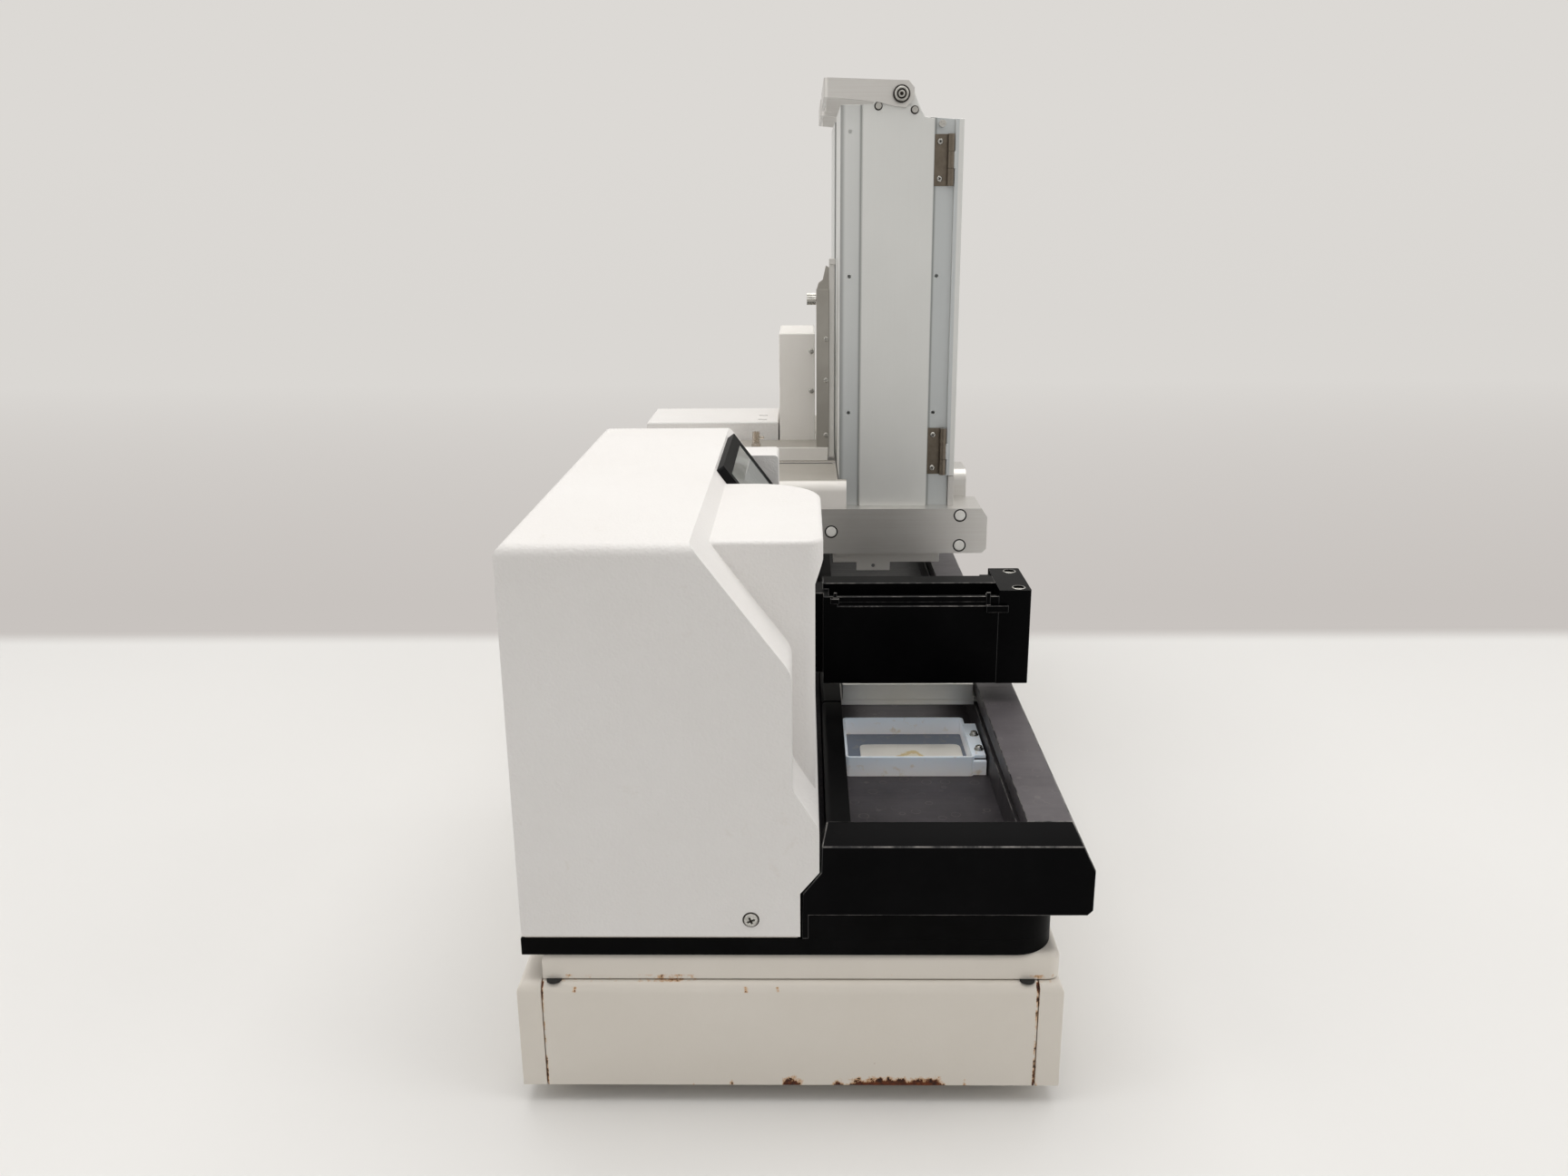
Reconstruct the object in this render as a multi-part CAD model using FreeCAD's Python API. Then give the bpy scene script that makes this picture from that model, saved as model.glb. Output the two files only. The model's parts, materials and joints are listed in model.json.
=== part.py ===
import FreeCAD, Part
import math
import os

# Bench reagent dispenser with a plate stacker, in millimetres.
# Places are written as three distances: d, from the left side of the base cabinet towards the stacker,
# r, from the rear of the base cabinet towards its front, and z, up from the bench.
# In the part's own frame X runs along d, Y runs from front to rear, and the origin is on the bench,
# under the middle of the whole instrument.

# Driving dimensions of the dispenser
CABINET_LENGTH = 400.0
CABINET_DEPTH = 322.0
CABINET_HEIGHT = 69.5
FOOT_HEIGHT = 12.0
SHEET = 2.0
TRAY_HEIGHT = 16.5
PLINTH_HEIGHT = 10.6
PEDESTAL_HEIGHT = 15.4
HOUSING_HEIGHT = 236.0
HOUSING_DEPTH = 174.1
HOUSING_INSET = 4.0
HOUSING_WALL = 3.0
TRACK_INNER = 102.0
RAIL_HEIGHT = 42.0

# Driving dimensions of the plate, the towers and the stacker
PLATE_LENGTH = 127.76
PLATE_WIDTH = 85.48
PLATE_GAP = 0.6
TOWER_HEIGHT = 345.0
TOWER_PITCH = 198.0
TOWER_WALL = 2.0
TOWER_COUNT = 2
STACK_GAP = 73.0
STACK_DEPTH = 298.0
DECK_HEIGHT = 134.0

# Clearances
CLEARANCE = 0.3
RUNNING_FIT = 0.05

# Levels above the bench
CABINET_BASE = FOOT_HEIGHT
CABINET_TOP = CABINET_BASE + CABINET_HEIGHT
TRAY_GAP = 1.0
TRAY_BASE = CABINET_TOP + TRAY_GAP
TRAY_TOP = TRAY_BASE + TRAY_HEIGHT
PLINTH_TOP = TRAY_TOP + PLINTH_HEIGHT
TRACK_BASE = PLINTH_TOP + PEDESTAL_HEIGHT
BED_THICK = 10.0
FLOOR_THICK = 2.0
BED_TOP = TRACK_BASE + BED_THICK
TRACK_FLOOR = BED_TOP + FLOOR_THICK
RAIL_TOP = BED_TOP + RAIL_HEIGHT
HOUSING_BASE = PLINTH_TOP + 1.4
HOUSING_TOP = HOUSING_BASE + HOUSING_HEIGHT
DECK_TOP = TRACK_BASE + DECK_HEIGHT

# Places from rear to front
HOUSING_REAR = 4.5
HOUSING_TOE = HOUSING_REAR + HOUSING_DEPTH
HOUSING_FOOT = HOUSING_TOE - 11.1
HOUSING_FRONT = HOUSING_TOE - 15.3
RAIL_REAR = HOUSING_TOE + 4.4
REAR_RAIL_WIDTH = 14.0
FRONT_RAIL_WIDTH = 26.5
TRACK_REAR = RAIL_REAR + REAR_RAIL_WIDTH
TRACK_FRONT = TRACK_REAR + TRACK_INNER
TRACK_MIDDLE = (TRACK_REAR + TRACK_FRONT) / 2
RAIL_FRONT = TRACK_FRONT + FRONT_RAIL_WIDTH
TRACK_EDGE = RAIL_FRONT + 10.9
COLUMN_FRONT = RAIL_REAR - 5.0
TOWER_REAR = TRACK_MIDDLE - PLATE_WIDTH / 2 - PLATE_GAP - TOWER_WALL
TOWER_FRONT = TRACK_MIDDLE + PLATE_WIDTH / 2 + 10.9
COVER_FRONT = TOWER_FRONT + 35.4

# Places from left to right
TRACK_START = HOUSING_INSET
CAP_LENGTH = 16.0
TOWER_LENGTH = PLATE_LENGTH + 2 * TOWER_WALL + 2 * 2.1
STACK_START = CABINET_LENGTH + STACK_GAP
TOWER_START = STACK_START + 17.0
TOWER_STARTS = [TOWER_START + TOWER_PITCH * i for i in range(TOWER_COUNT)]
STACK_MARGIN = 56.0
STACK_END = TOWER_STARTS[-1] + TOWER_LENGTH + STACK_MARGIN
TRACK_END = STACK_END - 2.0
CHANNEL_START = TRACK_START + CAP_LENGTH
CHANNEL_END = TRACK_END - CAP_LENGTH


def x_of(d):
    return d - STACK_END / 2


def y_of(r):
    return COVER_FRONT / 2 - r


def vec(d, r, z):
    """A point given by its distances from the left side, the rear and the bench."""
    return FreeCAD.Vector(x_of(d), y_of(r), z)


def block(d0, d1, r0, r1, z0, z1):
    """A box between two distances along, across and up."""
    return Part.makeBox(d1 - d0, r1 - r0, z1 - z0, vec(d0, r1, z0))


def rod_along(d0, d1, r, z, radius):
    """A round bar that runs along d."""
    return Part.makeCylinder(radius, d1 - d0, vec(d0, r, z), FreeCAD.Vector(1, 0, 0))


def rod_across(r0, r1, d, z, radius):
    """A round bar that runs along r."""
    return Part.makeCylinder(radius, r1 - r0, vec(d, r0, z), FreeCAD.Vector(0, -1, 0))


def rod_up(z0, z1, d, r, radius):
    """A round bar that stands up."""
    return Part.makeCylinder(radius, z1 - z0, vec(d, r, z0))


def pin(a, b, radius, sides=12):
    """A small round bar or hole between two points, drawn with flats so that its faces stay few."""
    way = b - a
    across = FreeCAD.Vector(0, 0, 1) if abs(way.z) < 1e-6 else FreeCAD.Vector(1, 0, 0)
    other = way.cross(across)
    other.normalize()
    ring = []
    for i in range(sides):
        turn = 2 * math.pi * (i + 0.5) / sides
        ring.append(a + across * (radius * math.cos(turn)) + other * (radius * math.sin(turn)))
    return Part.Face(Part.makePolygon(ring + [ring[0]])).extrude(way)


def slab_along(points, d0, d1):
    """An outline of (r, z) points, drawn out along d."""
    corners = [vec(d0, r, z) for r, z in points]
    return Part.Face(Part.makePolygon(corners + corners[:1])).extrude(FreeCAD.Vector(d1 - d0, 0, 0))


def slab_across(points, r0, r1):
    """An outline of (d, z) points, drawn out along r."""
    corners = [vec(d, r0, z) for d, z in points]
    return Part.Face(Part.makePolygon(corners + corners[:1])).extrude(FreeCAD.Vector(0, r0 - r1, 0))


def slab_up(points, z0, z1):
    """An outline of (d, r) points, drawn up."""
    corners = [vec(d, r, z0) for d, r in points]
    return Part.Face(Part.makePolygon(corners + corners[:1])).extrude(FreeCAD.Vector(0, 0, z1 - z0))


def join(first, *others):
    """One solid from several that touch or overlap."""
    return first.fuse(list(others)).removeSplitter()


def group(shapes):
    """Several separate solids kept as one sub-part."""
    return Part.makeCompound(list(shapes))


def near(value, target):
    """True where two lengths are the same to a hundredth of a millimetre."""
    return abs(value - target) < 0.01


def soften(shape, radius, wanted):
    """Rounds the straight edges for which wanted(start, end) is true."""
    edges = []
    for edge in shape.Edges:
        if len(edge.Vertexes) != 2 or edge.Curve.TypeId != "Part::GeomLine":
            continue
        if wanted(edge.Vertexes[0].Point, edge.Vertexes[1].Point):
            edges.append(edge)
    return shape.makeFillet(radius, edges)


def is_upright(a, b):
    return near(a.x, b.x) and near(a.y, b.y)


def is_along(a, b):
    return near(a.y, b.y) and near(a.z, b.z)


def is_across(a, b):
    return near(a.x, b.x) and near(a.z, b.z)


def at_level(z):
    """A test for the edges that lie at one level."""
    return lambda a, b: near(a.z, z) and near(b.z, z)


def at_front(r):
    """A test for the upright edges at one distance from the rear."""
    return lambda a, b: is_upright(a, b) and near(a.y, y_of(r))


# Base cabinet: a folded and welded steel box on feet, with a cover that wraps each end
SEAM = 0.4
COVER_WIDTH = 14.5
FRONT_SEAM = CABINET_DEPTH - COVER_WIDTH
CABINET_BEND = 6.0
FOOT_RADIUS = 13.0
FOOT_INSET = 40.0


def cabinet_shell():
    outer = block(0, CABINET_LENGTH, 0, CABINET_DEPTH, CABINET_BASE, CABINET_TOP)
    outer = soften(outer, CABINET_BEND, at_level(CABINET_TOP))
    inner = block(SHEET, CABINET_LENGTH - SHEET, SHEET, CABINET_DEPTH - SHEET,
                  CABINET_BASE + SHEET, CABINET_TOP - SHEET)
    return outer.cut(soften(inner, CABINET_BEND - SHEET, at_level(CABINET_TOP - SHEET)))


def cabinet_slice(r0, r1):
    return cabinet_shell().common(block(-1, CABINET_LENGTH + 1, r0, r1, CABINET_BASE - 1, CABINET_TOP + 1))


def feet():
    """Four round rubber feet under the cabinet, and four under the stacker's casing."""
    pads = []
    for d0, d1, r1 in ((0, CABINET_LENGTH, CABINET_DEPTH),
                       (STACK_START, STACK_END, STACK_REAR + STACK_DEPTH)):
        for d in (d0 + FOOT_INSET, d1 - FOOT_INSET):
            for r in (FOOT_INSET, r1 - FOOT_INSET):
                pads.append(rod_up(0, FOOT_HEIGHT, d, r, FOOT_RADIUS))
    return group(pads)


# Tray on the cabinet: a folded sheet cover, open below, on four round rubber pads
TRAY_REAR = COVER_WIDTH + 0.7
TRAY_FRONT = CABINET_DEPTH - 1.6
TRAY_INSET = 5.0
TRAY_BEND = 5.0
PAD_RADIUS = 4.5
PAD_OFFSET = 6.6
PAD_FRONT_OFFSET = 19.6


def top_tray():
    d0, d1 = TRAY_INSET, CABINET_LENGTH - TRAY_INSET
    outer = block(d0, d1, TRAY_REAR, TRAY_FRONT, TRAY_BASE, TRAY_TOP)
    outer = soften(outer, TRAY_BEND + 3, at_front(TRAY_FRONT))
    rim = [edge for edge in outer.Edges if edge.BoundBox.ZMin > TRAY_TOP - 0.01]
    outer = outer.makeFillet(TRAY_BEND, rim)
    inner = block(d0 + SHEET, d1 - SHEET, TRAY_REAR + SHEET, TRAY_FRONT - SHEET, TRAY_BASE - 1,
                  TRAY_TOP - SHEET)
    return outer.cut(soften(inner, TRAY_BEND + 3 - SHEET, at_front(TRAY_FRONT - SHEET)))


def tray_pads():
    pads = []
    for r in (TRAY_REAR + PAD_OFFSET, TRAY_FRONT - PAD_FRONT_OFFSET):
        for d in (TRAY_INSET, CABINET_LENGTH - TRAY_INSET):
            pads.append(pin(vec(d, r, CABINET_TOP), vec(d, r, TRAY_BASE), PAD_RADIUS, 16))
    return group(pads)


# Black plinth: a plate under the whole dispenser, and a block on it that carries the track
PLINTH_INSET = 4.0
PLINTH_FRONT = CABINET_DEPTH - 5.3
PLINTH_CORNER = 24.0


def plinth_block(r0, z0, z1):
    """A block with both front corners rounded."""
    body = block(PLINTH_INSET, CABINET_LENGTH - PLINTH_INSET, r0, PLINTH_FRONT, z0, z1)
    return soften(body, PLINTH_CORNER, at_front(PLINTH_FRONT))


def base_plate():
    return plinth_block(HOUSING_REAR - 0.6, TRAY_TOP, PLINTH_TOP)


def pedestal():
    return plinth_block(HOUSING_FOOT + 5, PLINTH_TOP, TRACK_BASE)


# Housing: a moulded shell with a toe, an upright front, a sloping face for the screen and a flat top
TOE_RISE = 28.2
TOE_SLANT = 13.5
TOE_HEIGHT = 68.7
NECK_RISE = 25.0
SLOPE_RUN = 54.3
SLOPE_RISE = 73.0
SLOPE_ROUND = 16.0
NECK_ROUND = 10.0
TOE_ROUND = 8.0
HOUSING_ROUND = 7.0
TOE_TOP = HOUSING_BASE + TOE_HEIGHT
SLOPE_FOOT = HOUSING_TOP - SLOPE_RISE
HOUSING_CREST = HOUSING_FRONT - SLOPE_RUN
SLOPE_LENGTH = math.hypot(SLOPE_RUN, SLOPE_RISE)


def housing_outline(inset):
    """The side outline, drawn in by the same wall on every side."""
    lean = inset * (SLOPE_LENGTH - SLOPE_RUN) / SLOPE_RISE
    return [
        (HOUSING_REAR + inset, HOUSING_BASE),
        (HOUSING_FOOT - inset, HOUSING_BASE),
        (HOUSING_FOOT - inset, HOUSING_BASE + TOE_RISE),
        (HOUSING_TOE - inset, HOUSING_BASE + TOE_RISE + TOE_SLANT),
        (HOUSING_TOE - inset, TOE_TOP),
        (HOUSING_FRONT - inset, TOE_TOP + NECK_RISE - inset),
        (HOUSING_FRONT - inset, SLOPE_FOOT - lean),
        (HOUSING_CREST - lean, HOUSING_TOP - inset),
        (HOUSING_REAR + inset, HOUSING_TOP - inset),
    ]


def edge_along_at(r, z):
    """A test for the edge that runs along d at one place of the outline."""
    return lambda a, b: is_along(a, b) and near(a.y, y_of(r)) and near(a.z, z)


def housing_solid():
    """The housing's outside, with its bends and its top edge rounded."""
    body = slab_along(housing_outline(0), HOUSING_INSET, CABINET_LENGTH - HOUSING_INSET)
    body = soften(body, SLOPE_ROUND, edge_along_at(HOUSING_FRONT, SLOPE_FOOT))
    body = soften(body, NECK_ROUND, edge_along_at(HOUSING_FRONT, TOE_TOP + NECK_RISE))
    body = soften(body, TOE_ROUND, edge_along_at(HOUSING_TOE, TOE_TOP))
    rear = y_of(HOUSING_REAR)
    return soften(body, HOUSING_ROUND, lambda a, b: near(a.z, HOUSING_TOP) and near(b.z, HOUSING_TOP)
                  and (is_across(a, b) or near(a.y, rear)))


def housing_skirt(inset, z0, z1):
    """The set-back edge under the housing that stands on the plinth."""
    return block(HOUSING_INSET + inset, CABINET_LENGTH - HOUSING_INSET - inset, HOUSING_REAR + inset,
                 HOUSING_FOOT - inset, z0, z1)


# Openings in the housing: four side screws, and the inlet with its switch in the rear wall
SCREW_SHANK = 2.0
SCREW_HEAD = 4.2
HEAD_THICK = 1.6
HOUSING_SCREW_R = HOUSING_FOOT - 28.6
HOUSING_SCREW_Z = HOUSING_BASE + 11.3
INLET_WIDTH = 64.0
INLET_MARGIN = 31.0
INLET_D = CABINET_LENGTH - HOUSING_INSET - HOUSING_WALL - INLET_MARGIN - INLET_WIDTH / 2
INLET_HEIGHT = 26.0
INLET_DEPTH = 18.0
INLET_Z = HOUSING_BASE + 42.0
SOCKET_D = INLET_D + 14.0
SOCKET_WIDTH = 24.0
SOCKET_HEIGHT = 16.0
SWITCH_D = INLET_D - 18.0
SWITCH_WIDTH = 16.0
SWITCH_HEIGHT = 20.0
SWITCH_TILT = 9.0


def inlet_block(gap, r0, r1):
    """The inlet module's body, or the hole that it is pushed into."""
    return block(INLET_D - INLET_WIDTH / 2 - gap, INLET_D + INLET_WIDTH / 2 + gap, r0, r1,
                 INLET_Z - INLET_HEIGHT / 2 - gap, INLET_Z + INLET_HEIGHT / 2 + gap)


def housing_shell():
    d0, d1 = HOUSING_INSET, CABINET_LENGTH - HOUSING_INSET
    inner = slab_along(housing_outline(HOUSING_WALL), d0 + HOUSING_WALL, d1 - HOUSING_WALL)
    shell = join(housing_solid(), housing_skirt(1.5, PLINTH_TOP, HOUSING_BASE + 2))
    shell = shell.cut(inner).cut(housing_skirt(HOUSING_WALL, PLINTH_TOP - 1, HOUSING_BASE + 1))
    shell = shell.cut(inlet_block(CLEARANCE, HOUSING_REAR - 1, HOUSING_REAR + HOUSING_WALL + 1))
    for d in (d0 - 1, d1 - HOUSING_WALL - 1):
        shell = shell.cut(rod_along(d, d + HOUSING_WALL + 2, HOUSING_SCREW_R, HOUSING_SCREW_Z,
                                    SCREW_SHANK + 0.1))
    return shell


def inlet_module():
    """An inlet socket with three blades, beside the well of the rocker switch."""
    body = inlet_block(0, HOUSING_REAR, HOUSING_REAR + INLET_DEPTH)
    flange = inlet_block(3.0, HOUSING_REAR - 2, HOUSING_REAR)
    well = block(SOCKET_D - SOCKET_WIDTH / 2, SOCKET_D + SOCKET_WIDTH / 2, HOUSING_REAR - 3,
                 HOUSING_REAR + INLET_DEPTH - 2, INLET_Z - SOCKET_HEIGHT / 2, INLET_Z + SOCKET_HEIGHT / 2)
    well = well.makeChamfer(4.0, [edge for edge in well.Edges
                                  if edge.BoundBox.YLength > 1 and edge.BoundBox.ZMax > INLET_Z + 1])
    half = SWITCH_HEIGHT / 2 + CLEARANCE
    pocket = block(SWITCH_D - SWITCH_WIDTH / 2 - CLEARANCE, SWITCH_D + SWITCH_WIDTH / 2 + CLEARANCE,
                   HOUSING_REAR - 3, HOUSING_REAR + 12, INLET_Z - half, INLET_Z + half)
    module = join(body, flange).cut(well).cut(pocket)
    half = SWITCH_WIDTH / 2 + 1
    pivot = rod_along(SWITCH_D - half, SWITCH_D + half, HOUSING_REAR + 5, INLET_Z, 1.5)
    blades = []
    for step, rise in ((-7.0, -2.0), (0.0, 2.5), (7.0, -2.0)):
        blades.append(block(SOCKET_D + step - 1, SOCKET_D + step + 1, HOUSING_REAR + 2,
                            HOUSING_REAR + INLET_DEPTH - 1, INLET_Z + rise - 2, INLET_Z + rise + 2))
    return join(module, pivot, *blades)


def power_switch():
    """A rocker on a pivot along d, with two faces that meet in a shallow valley."""
    half = SWITCH_HEIGHT / 2 - 0.6
    pivot = HOUSING_REAR + 5.0
    points = [(pivot - 4.6, INLET_Z - half), (pivot - 3.6, INLET_Z), (pivot - 4.6, INLET_Z + half),
              (pivot + 0.5, INLET_Z + half - 0.6), (pivot + 3.0, INLET_Z + 4), (pivot + 3.0, INLET_Z - 4),
              (pivot + 0.5, INLET_Z - half + 0.6)]
    rocker = slab_along(points, SWITCH_D - SWITCH_WIDTH / 2, SWITCH_D + SWITCH_WIDTH / 2)
    return rocker.cut(rod_along(SWITCH_D - SWITCH_WIDTH, SWITCH_D + SWITCH_WIDTH, pivot, INLET_Z,
                                1.5 + RUNNING_FIT))


# Head cover: the moulded box on the housing's front, with a large round at its far corner.
# Along the sloping face come the head cover, the screen and the side pod, each a gap from the next.
POD_LENGTH = 40.0
POD_GAP = 3.5
SCREEN_LENGTH = 138.0
NOSE_GAP = 1.5
NOSE_LENGTH = 163.0
SCREEN_START = CABINET_LENGTH - HOUSING_INSET - POD_LENGTH - POD_GAP - SCREEN_LENGTH
NOSE_START = SCREEN_START - NOSE_GAP - NOSE_LENGTH
NOSE_DEPTH = 18.2
NOSE_STEP = 4.7
NOSE_DROP = 10.0
NOSE_NEAR_ROUND = 11.0
NOSE_FAR_ROUND = 45.0
NOSE_END = NOSE_START + NOSE_LENGTH
NOSE_FRONT = HOUSING_FRONT + NOSE_DEPTH
NOSE_TOP = HOUSING_TOP - NOSE_DROP
NOSE_BASE = TOE_TOP + 2.0


def head_cover():
    back = HOUSING_CREST - 10
    waist = NOSE_FRONT - NOSE_STEP
    outline = [(back, NOSE_BASE), (waist, NOSE_BASE), (waist, NOSE_TOP - 26), (NOSE_FRONT, NOSE_TOP - 13),
               (NOSE_FRONT, NOSE_TOP), (back, NOSE_TOP)]
    body = slab_along(outline, NOSE_START, NOSE_END)
    plan = block(NOSE_START, NOSE_END, back, NOSE_FRONT, NOSE_BASE, NOSE_TOP)
    left, right = x_of(NOSE_START), x_of(NOSE_END)
    front = at_front(NOSE_FRONT)
    plan = soften(plan, NOSE_NEAR_ROUND, lambda a, b: front(a, b) and near(a.x, left))
    plan = soften(plan, NOSE_FAR_ROUND, lambda a, b: front(a, b) and near(a.x, right))
    body = body.common(plan)
    top = [edge for edge in body.Edges if edge.BoundBox.ZMin > NOSE_TOP - 0.01
           and edge.BoundBox.YMax < y_of(back + 1)]
    return body.makeFillet(2.5, top).cut(housing_solid())


# Side pod: the wedge at the far end of the sloping face
POD_DEPTH = 41.0
POD_DROP = 17.0
POD_ROUND = 3.0


def side_pod():
    front = HOUSING_CREST + POD_DEPTH
    d1 = CABINET_LENGTH - HOUSING_INSET
    body = block(d1 - POD_LENGTH, d1, HOUSING_CREST - 20, front, SLOPE_FOOT, HOUSING_TOP - POD_DROP)
    body = soften(body, POD_ROUND, edge_along_at(front, HOUSING_TOP - POD_DROP))
    return body.cut(housing_solid())


# Screen on the sloping face: a black bezel with a sheet of glass let into it
SCREEN_WIDTH = 84.0
SCREEN_THICK = 6.0
SCREEN_DROP = 2.0
BEZEL = 9.0
GLASS_THICK = 2.0
GLASS_RECESS = 0.6
SCREEN_END = SCREEN_START + SCREEN_LENGTH
SCREEN_LOW = SCREEN_DROP + SCREEN_WIDTH


def on_slope(along, out):
    """A point (r, z) at a distance down the slope from its crest, and out of it."""
    r = HOUSING_CREST + (along * SLOPE_RUN + out * SLOPE_RISE) / SLOPE_LENGTH
    z = HOUSING_TOP + (-along * SLOPE_RISE + out * SLOPE_RUN) / SLOPE_LENGTH
    return (r, z)


def slope_slab(along0, along1, out0, out1, d0, d1):
    points = [on_slope(along0, out0), on_slope(along1, out0), on_slope(along1, out1), on_slope(along0, out1)]
    return slab_along(points, d0, d1)


def screen_opening(out0, out1):
    return slope_slab(SCREEN_DROP + BEZEL, SCREEN_LOW - BEZEL, out0, out1, SCREEN_START + BEZEL,
                      SCREEN_END - BEZEL)


def screen_bezel():
    body = slope_slab(SCREEN_DROP, SCREEN_LOW, 0, SCREEN_THICK, SCREEN_START, SCREEN_END)
    corners = [edge for edge in body.Edges
               if edge.BoundBox.XLength < 0.1 and edge.Length < SCREEN_THICK + 0.1]
    body = body.makeFillet(2.5, corners)
    return body.cut(screen_opening(SCREEN_THICK - GLASS_RECESS - GLASS_THICK, SCREEN_THICK + 1))


def screen_glass():
    return screen_opening(SCREEN_THICK - GLASS_RECESS - GLASS_THICK, SCREEN_THICK - GLASS_RECESS)


# Plate track: a bed with a raised floor, two slotted rails and a cap at each end
SLOT_BASE = RAIL_TOP - 18.5
SLOT_HEIGHT = 7.0
SLOT_DEPTH = 8.0
RAIL_WALL = 3.0
RAIL_SLANT = 23.0
BREAK_SPACE = 6.0
BREAK_START = NOSE_END - BREAK_SPACE
BREAK_WIDTH = 3.0
CAP_BEVEL = 8.0
EDGE_Z = RAIL_TOP - RAIL_SLANT


def track_bed():
    """The bed, its raised floor between the rails, and the boss that holds the trough."""
    bed = block(CHANNEL_START, CHANNEL_END, HOUSING_FOOT + 4, TRACK_EDGE - 6, TRACK_BASE, BED_TOP)
    floor = block(CHANNEL_START, CHANNEL_END, TRACK_REAR, TRACK_FRONT, BED_TOP, TRACK_FLOOR)
    boss = block(TROUGH_SCREW_D[0] - 8, TROUGH_SCREW_D[1] + 8, TROUGH_FRONT + CLEARANCE, FLANGE_FRONT,
                 TRACK_FLOOR, TROUGH_TOP - FLANGE_THICK)
    body = join(bed, floor, boss)
    for d in TROUGH_SCREW_D:
        body = body.cut(rod_up(TROUGH_TOP - 10, TROUGH_TOP, d, TROUGH_SCREW_R, THUMB_SHANK))
    return body


def rail_slot(r0, r1):
    return block(CHANNEL_START - 1, CHANNEL_END + 1, r0, r1, SLOT_BASE, SLOT_BASE + SLOT_HEIGHT)


def rear_rail():
    """The rear rail in two lengths with a narrow break between them."""
    body = block(CHANNEL_START, CHANNEL_END, RAIL_REAR, TRACK_REAR, BED_TOP, RAIL_TOP)
    body = soften(body, 3.0, edge_along_at(RAIL_REAR, RAIL_TOP))
    body = body.cut(rail_slot(TRACK_REAR - SLOT_DEPTH, TRACK_REAR + 1))
    gap = block(BREAK_START, BREAK_START + BREAK_WIDTH, RAIL_REAR - 1, TRACK_REAR + 1, BED_TOP, RAIL_TOP + 1)
    return body.cut(gap)


def front_rail():
    """A hollow extrusion with a slanted outer face, and holes for both pulley shafts."""
    outline = [(TRACK_FRONT, BED_TOP), (TRACK_EDGE, BED_TOP), (TRACK_EDGE, EDGE_Z), (RAIL_FRONT, RAIL_TOP),
               (TRACK_FRONT, RAIL_TOP)]
    body = slab_along(outline, CHANNEL_START, CHANNEL_END)
    inner, outer = TRACK_FRONT + RAIL_WALL, TRACK_EDGE - RAIL_WALL
    cavity = [(inner, BED_TOP + FLOOR_THICK), (outer, BED_TOP + FLOOR_THICK), (outer, EDGE_Z - 1),
              (RAIL_FRONT - RAIL_WALL, RAIL_TOP - RAIL_WALL - 1), (inner, RAIL_TOP - RAIL_WALL - 1)]
    body = body.cut(slab_along(cavity, CHANNEL_START - 1, CHANNEL_END + 1))
    body = body.cut(rail_slot(TRACK_FRONT - 1, inner + 1))
    for d in (IDLER_D, MOTOR_D):
        body = body.cut(rod_across(TRACK_FRONT - 1, TRACK_EDGE + 1, d, PULLEY_Z, SHAFT_RADIUS + RUNNING_FIT))
    return body


def end_cap(d0, d1, outer, base):
    """A closed end, with its top sloped down to the outside."""
    outline = [(HOUSING_FOOT + 1.2, base), (HOUSING_FOOT + 1.6, HOUSING_BASE + TOE_RISE),
               (HOUSING_TOE + 1.0, HOUSING_BASE + TOE_RISE + TOE_SLANT),
               (HOUSING_TOE + 1.4, RAIL_TOP - CAP_BEVEL), (RAIL_REAR, RAIL_TOP), (RAIL_FRONT, RAIL_TOP),
               (TRACK_EDGE, EDGE_Z), (TRACK_EDGE, TRACK_BASE + 3),
               (TRACK_EDGE - 3, TRACK_BASE), (HOUSING_FOOT + 5, TRACK_BASE), (HOUSING_FOOT + 5, base)]
    if near(base, TRACK_BASE):
        outline = outline[:-2]
    body = slab_along(outline, d0, d1)
    inner = d1 if near(outer, d0) else d0
    out = math.copysign(1.0, outer - inner)
    wedge = [(outer + out, RAIL_TOP + 1), (outer + out, RAIL_TOP - CAP_BEVEL), (outer, RAIL_TOP - CAP_BEVEL),
             (inner + 2 * out, RAIL_TOP), (inner + 2 * out, RAIL_TOP + 1)]
    return body.cut(slab_across(wedge, HOUSING_FOOT, TRACK_EDGE + 5))


# Belt drive inside the front rail: a belt round a driven pulley and an idler
PULLEY_RADIUS = 9.5
PULLEY_WIDTH = 9.0
RIM_RISE = 1.5
RIM_THICK = 1.2
SHAFT_RADIUS = 2.5
BELT_THICK = 1.2
PULLEY_START = TRACK_FRONT + RAIL_WALL + 4.0
PULLEY_Z = SLOT_BASE + 1.5 - PULLEY_RADIUS
IDLER_D = CHANNEL_START + 14.0
MOTOR_D = CHANNEL_END - 14.0
MOTOR_RADIUS = 11.0
MOTOR_LENGTH = 39.0
TOOTH_COUNT = 20
TOOTH_DEPTH = 0.7
TOOTH_GAP = 1.4
BELT_TOP = PULLEY_Z + PULLEY_RADIUS + BELT_THICK


def belt_solid(radius):
    r0, r1 = PULLEY_START + CLEARANCE, PULLEY_START + PULLEY_WIDTH - CLEARANCE
    ends = [rod_across(r0, r1, d, PULLEY_Z, radius) for d in (IDLER_D, MOTOR_D)]
    return join(block(IDLER_D, MOTOR_D, r0, r1, PULLEY_Z - radius, PULLEY_Z + radius), *ends)


def drive_belt():
    return belt_solid(PULLEY_RADIUS + BELT_THICK).cut(belt_solid(PULLEY_RADIUS + RUNNING_FIT))


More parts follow.
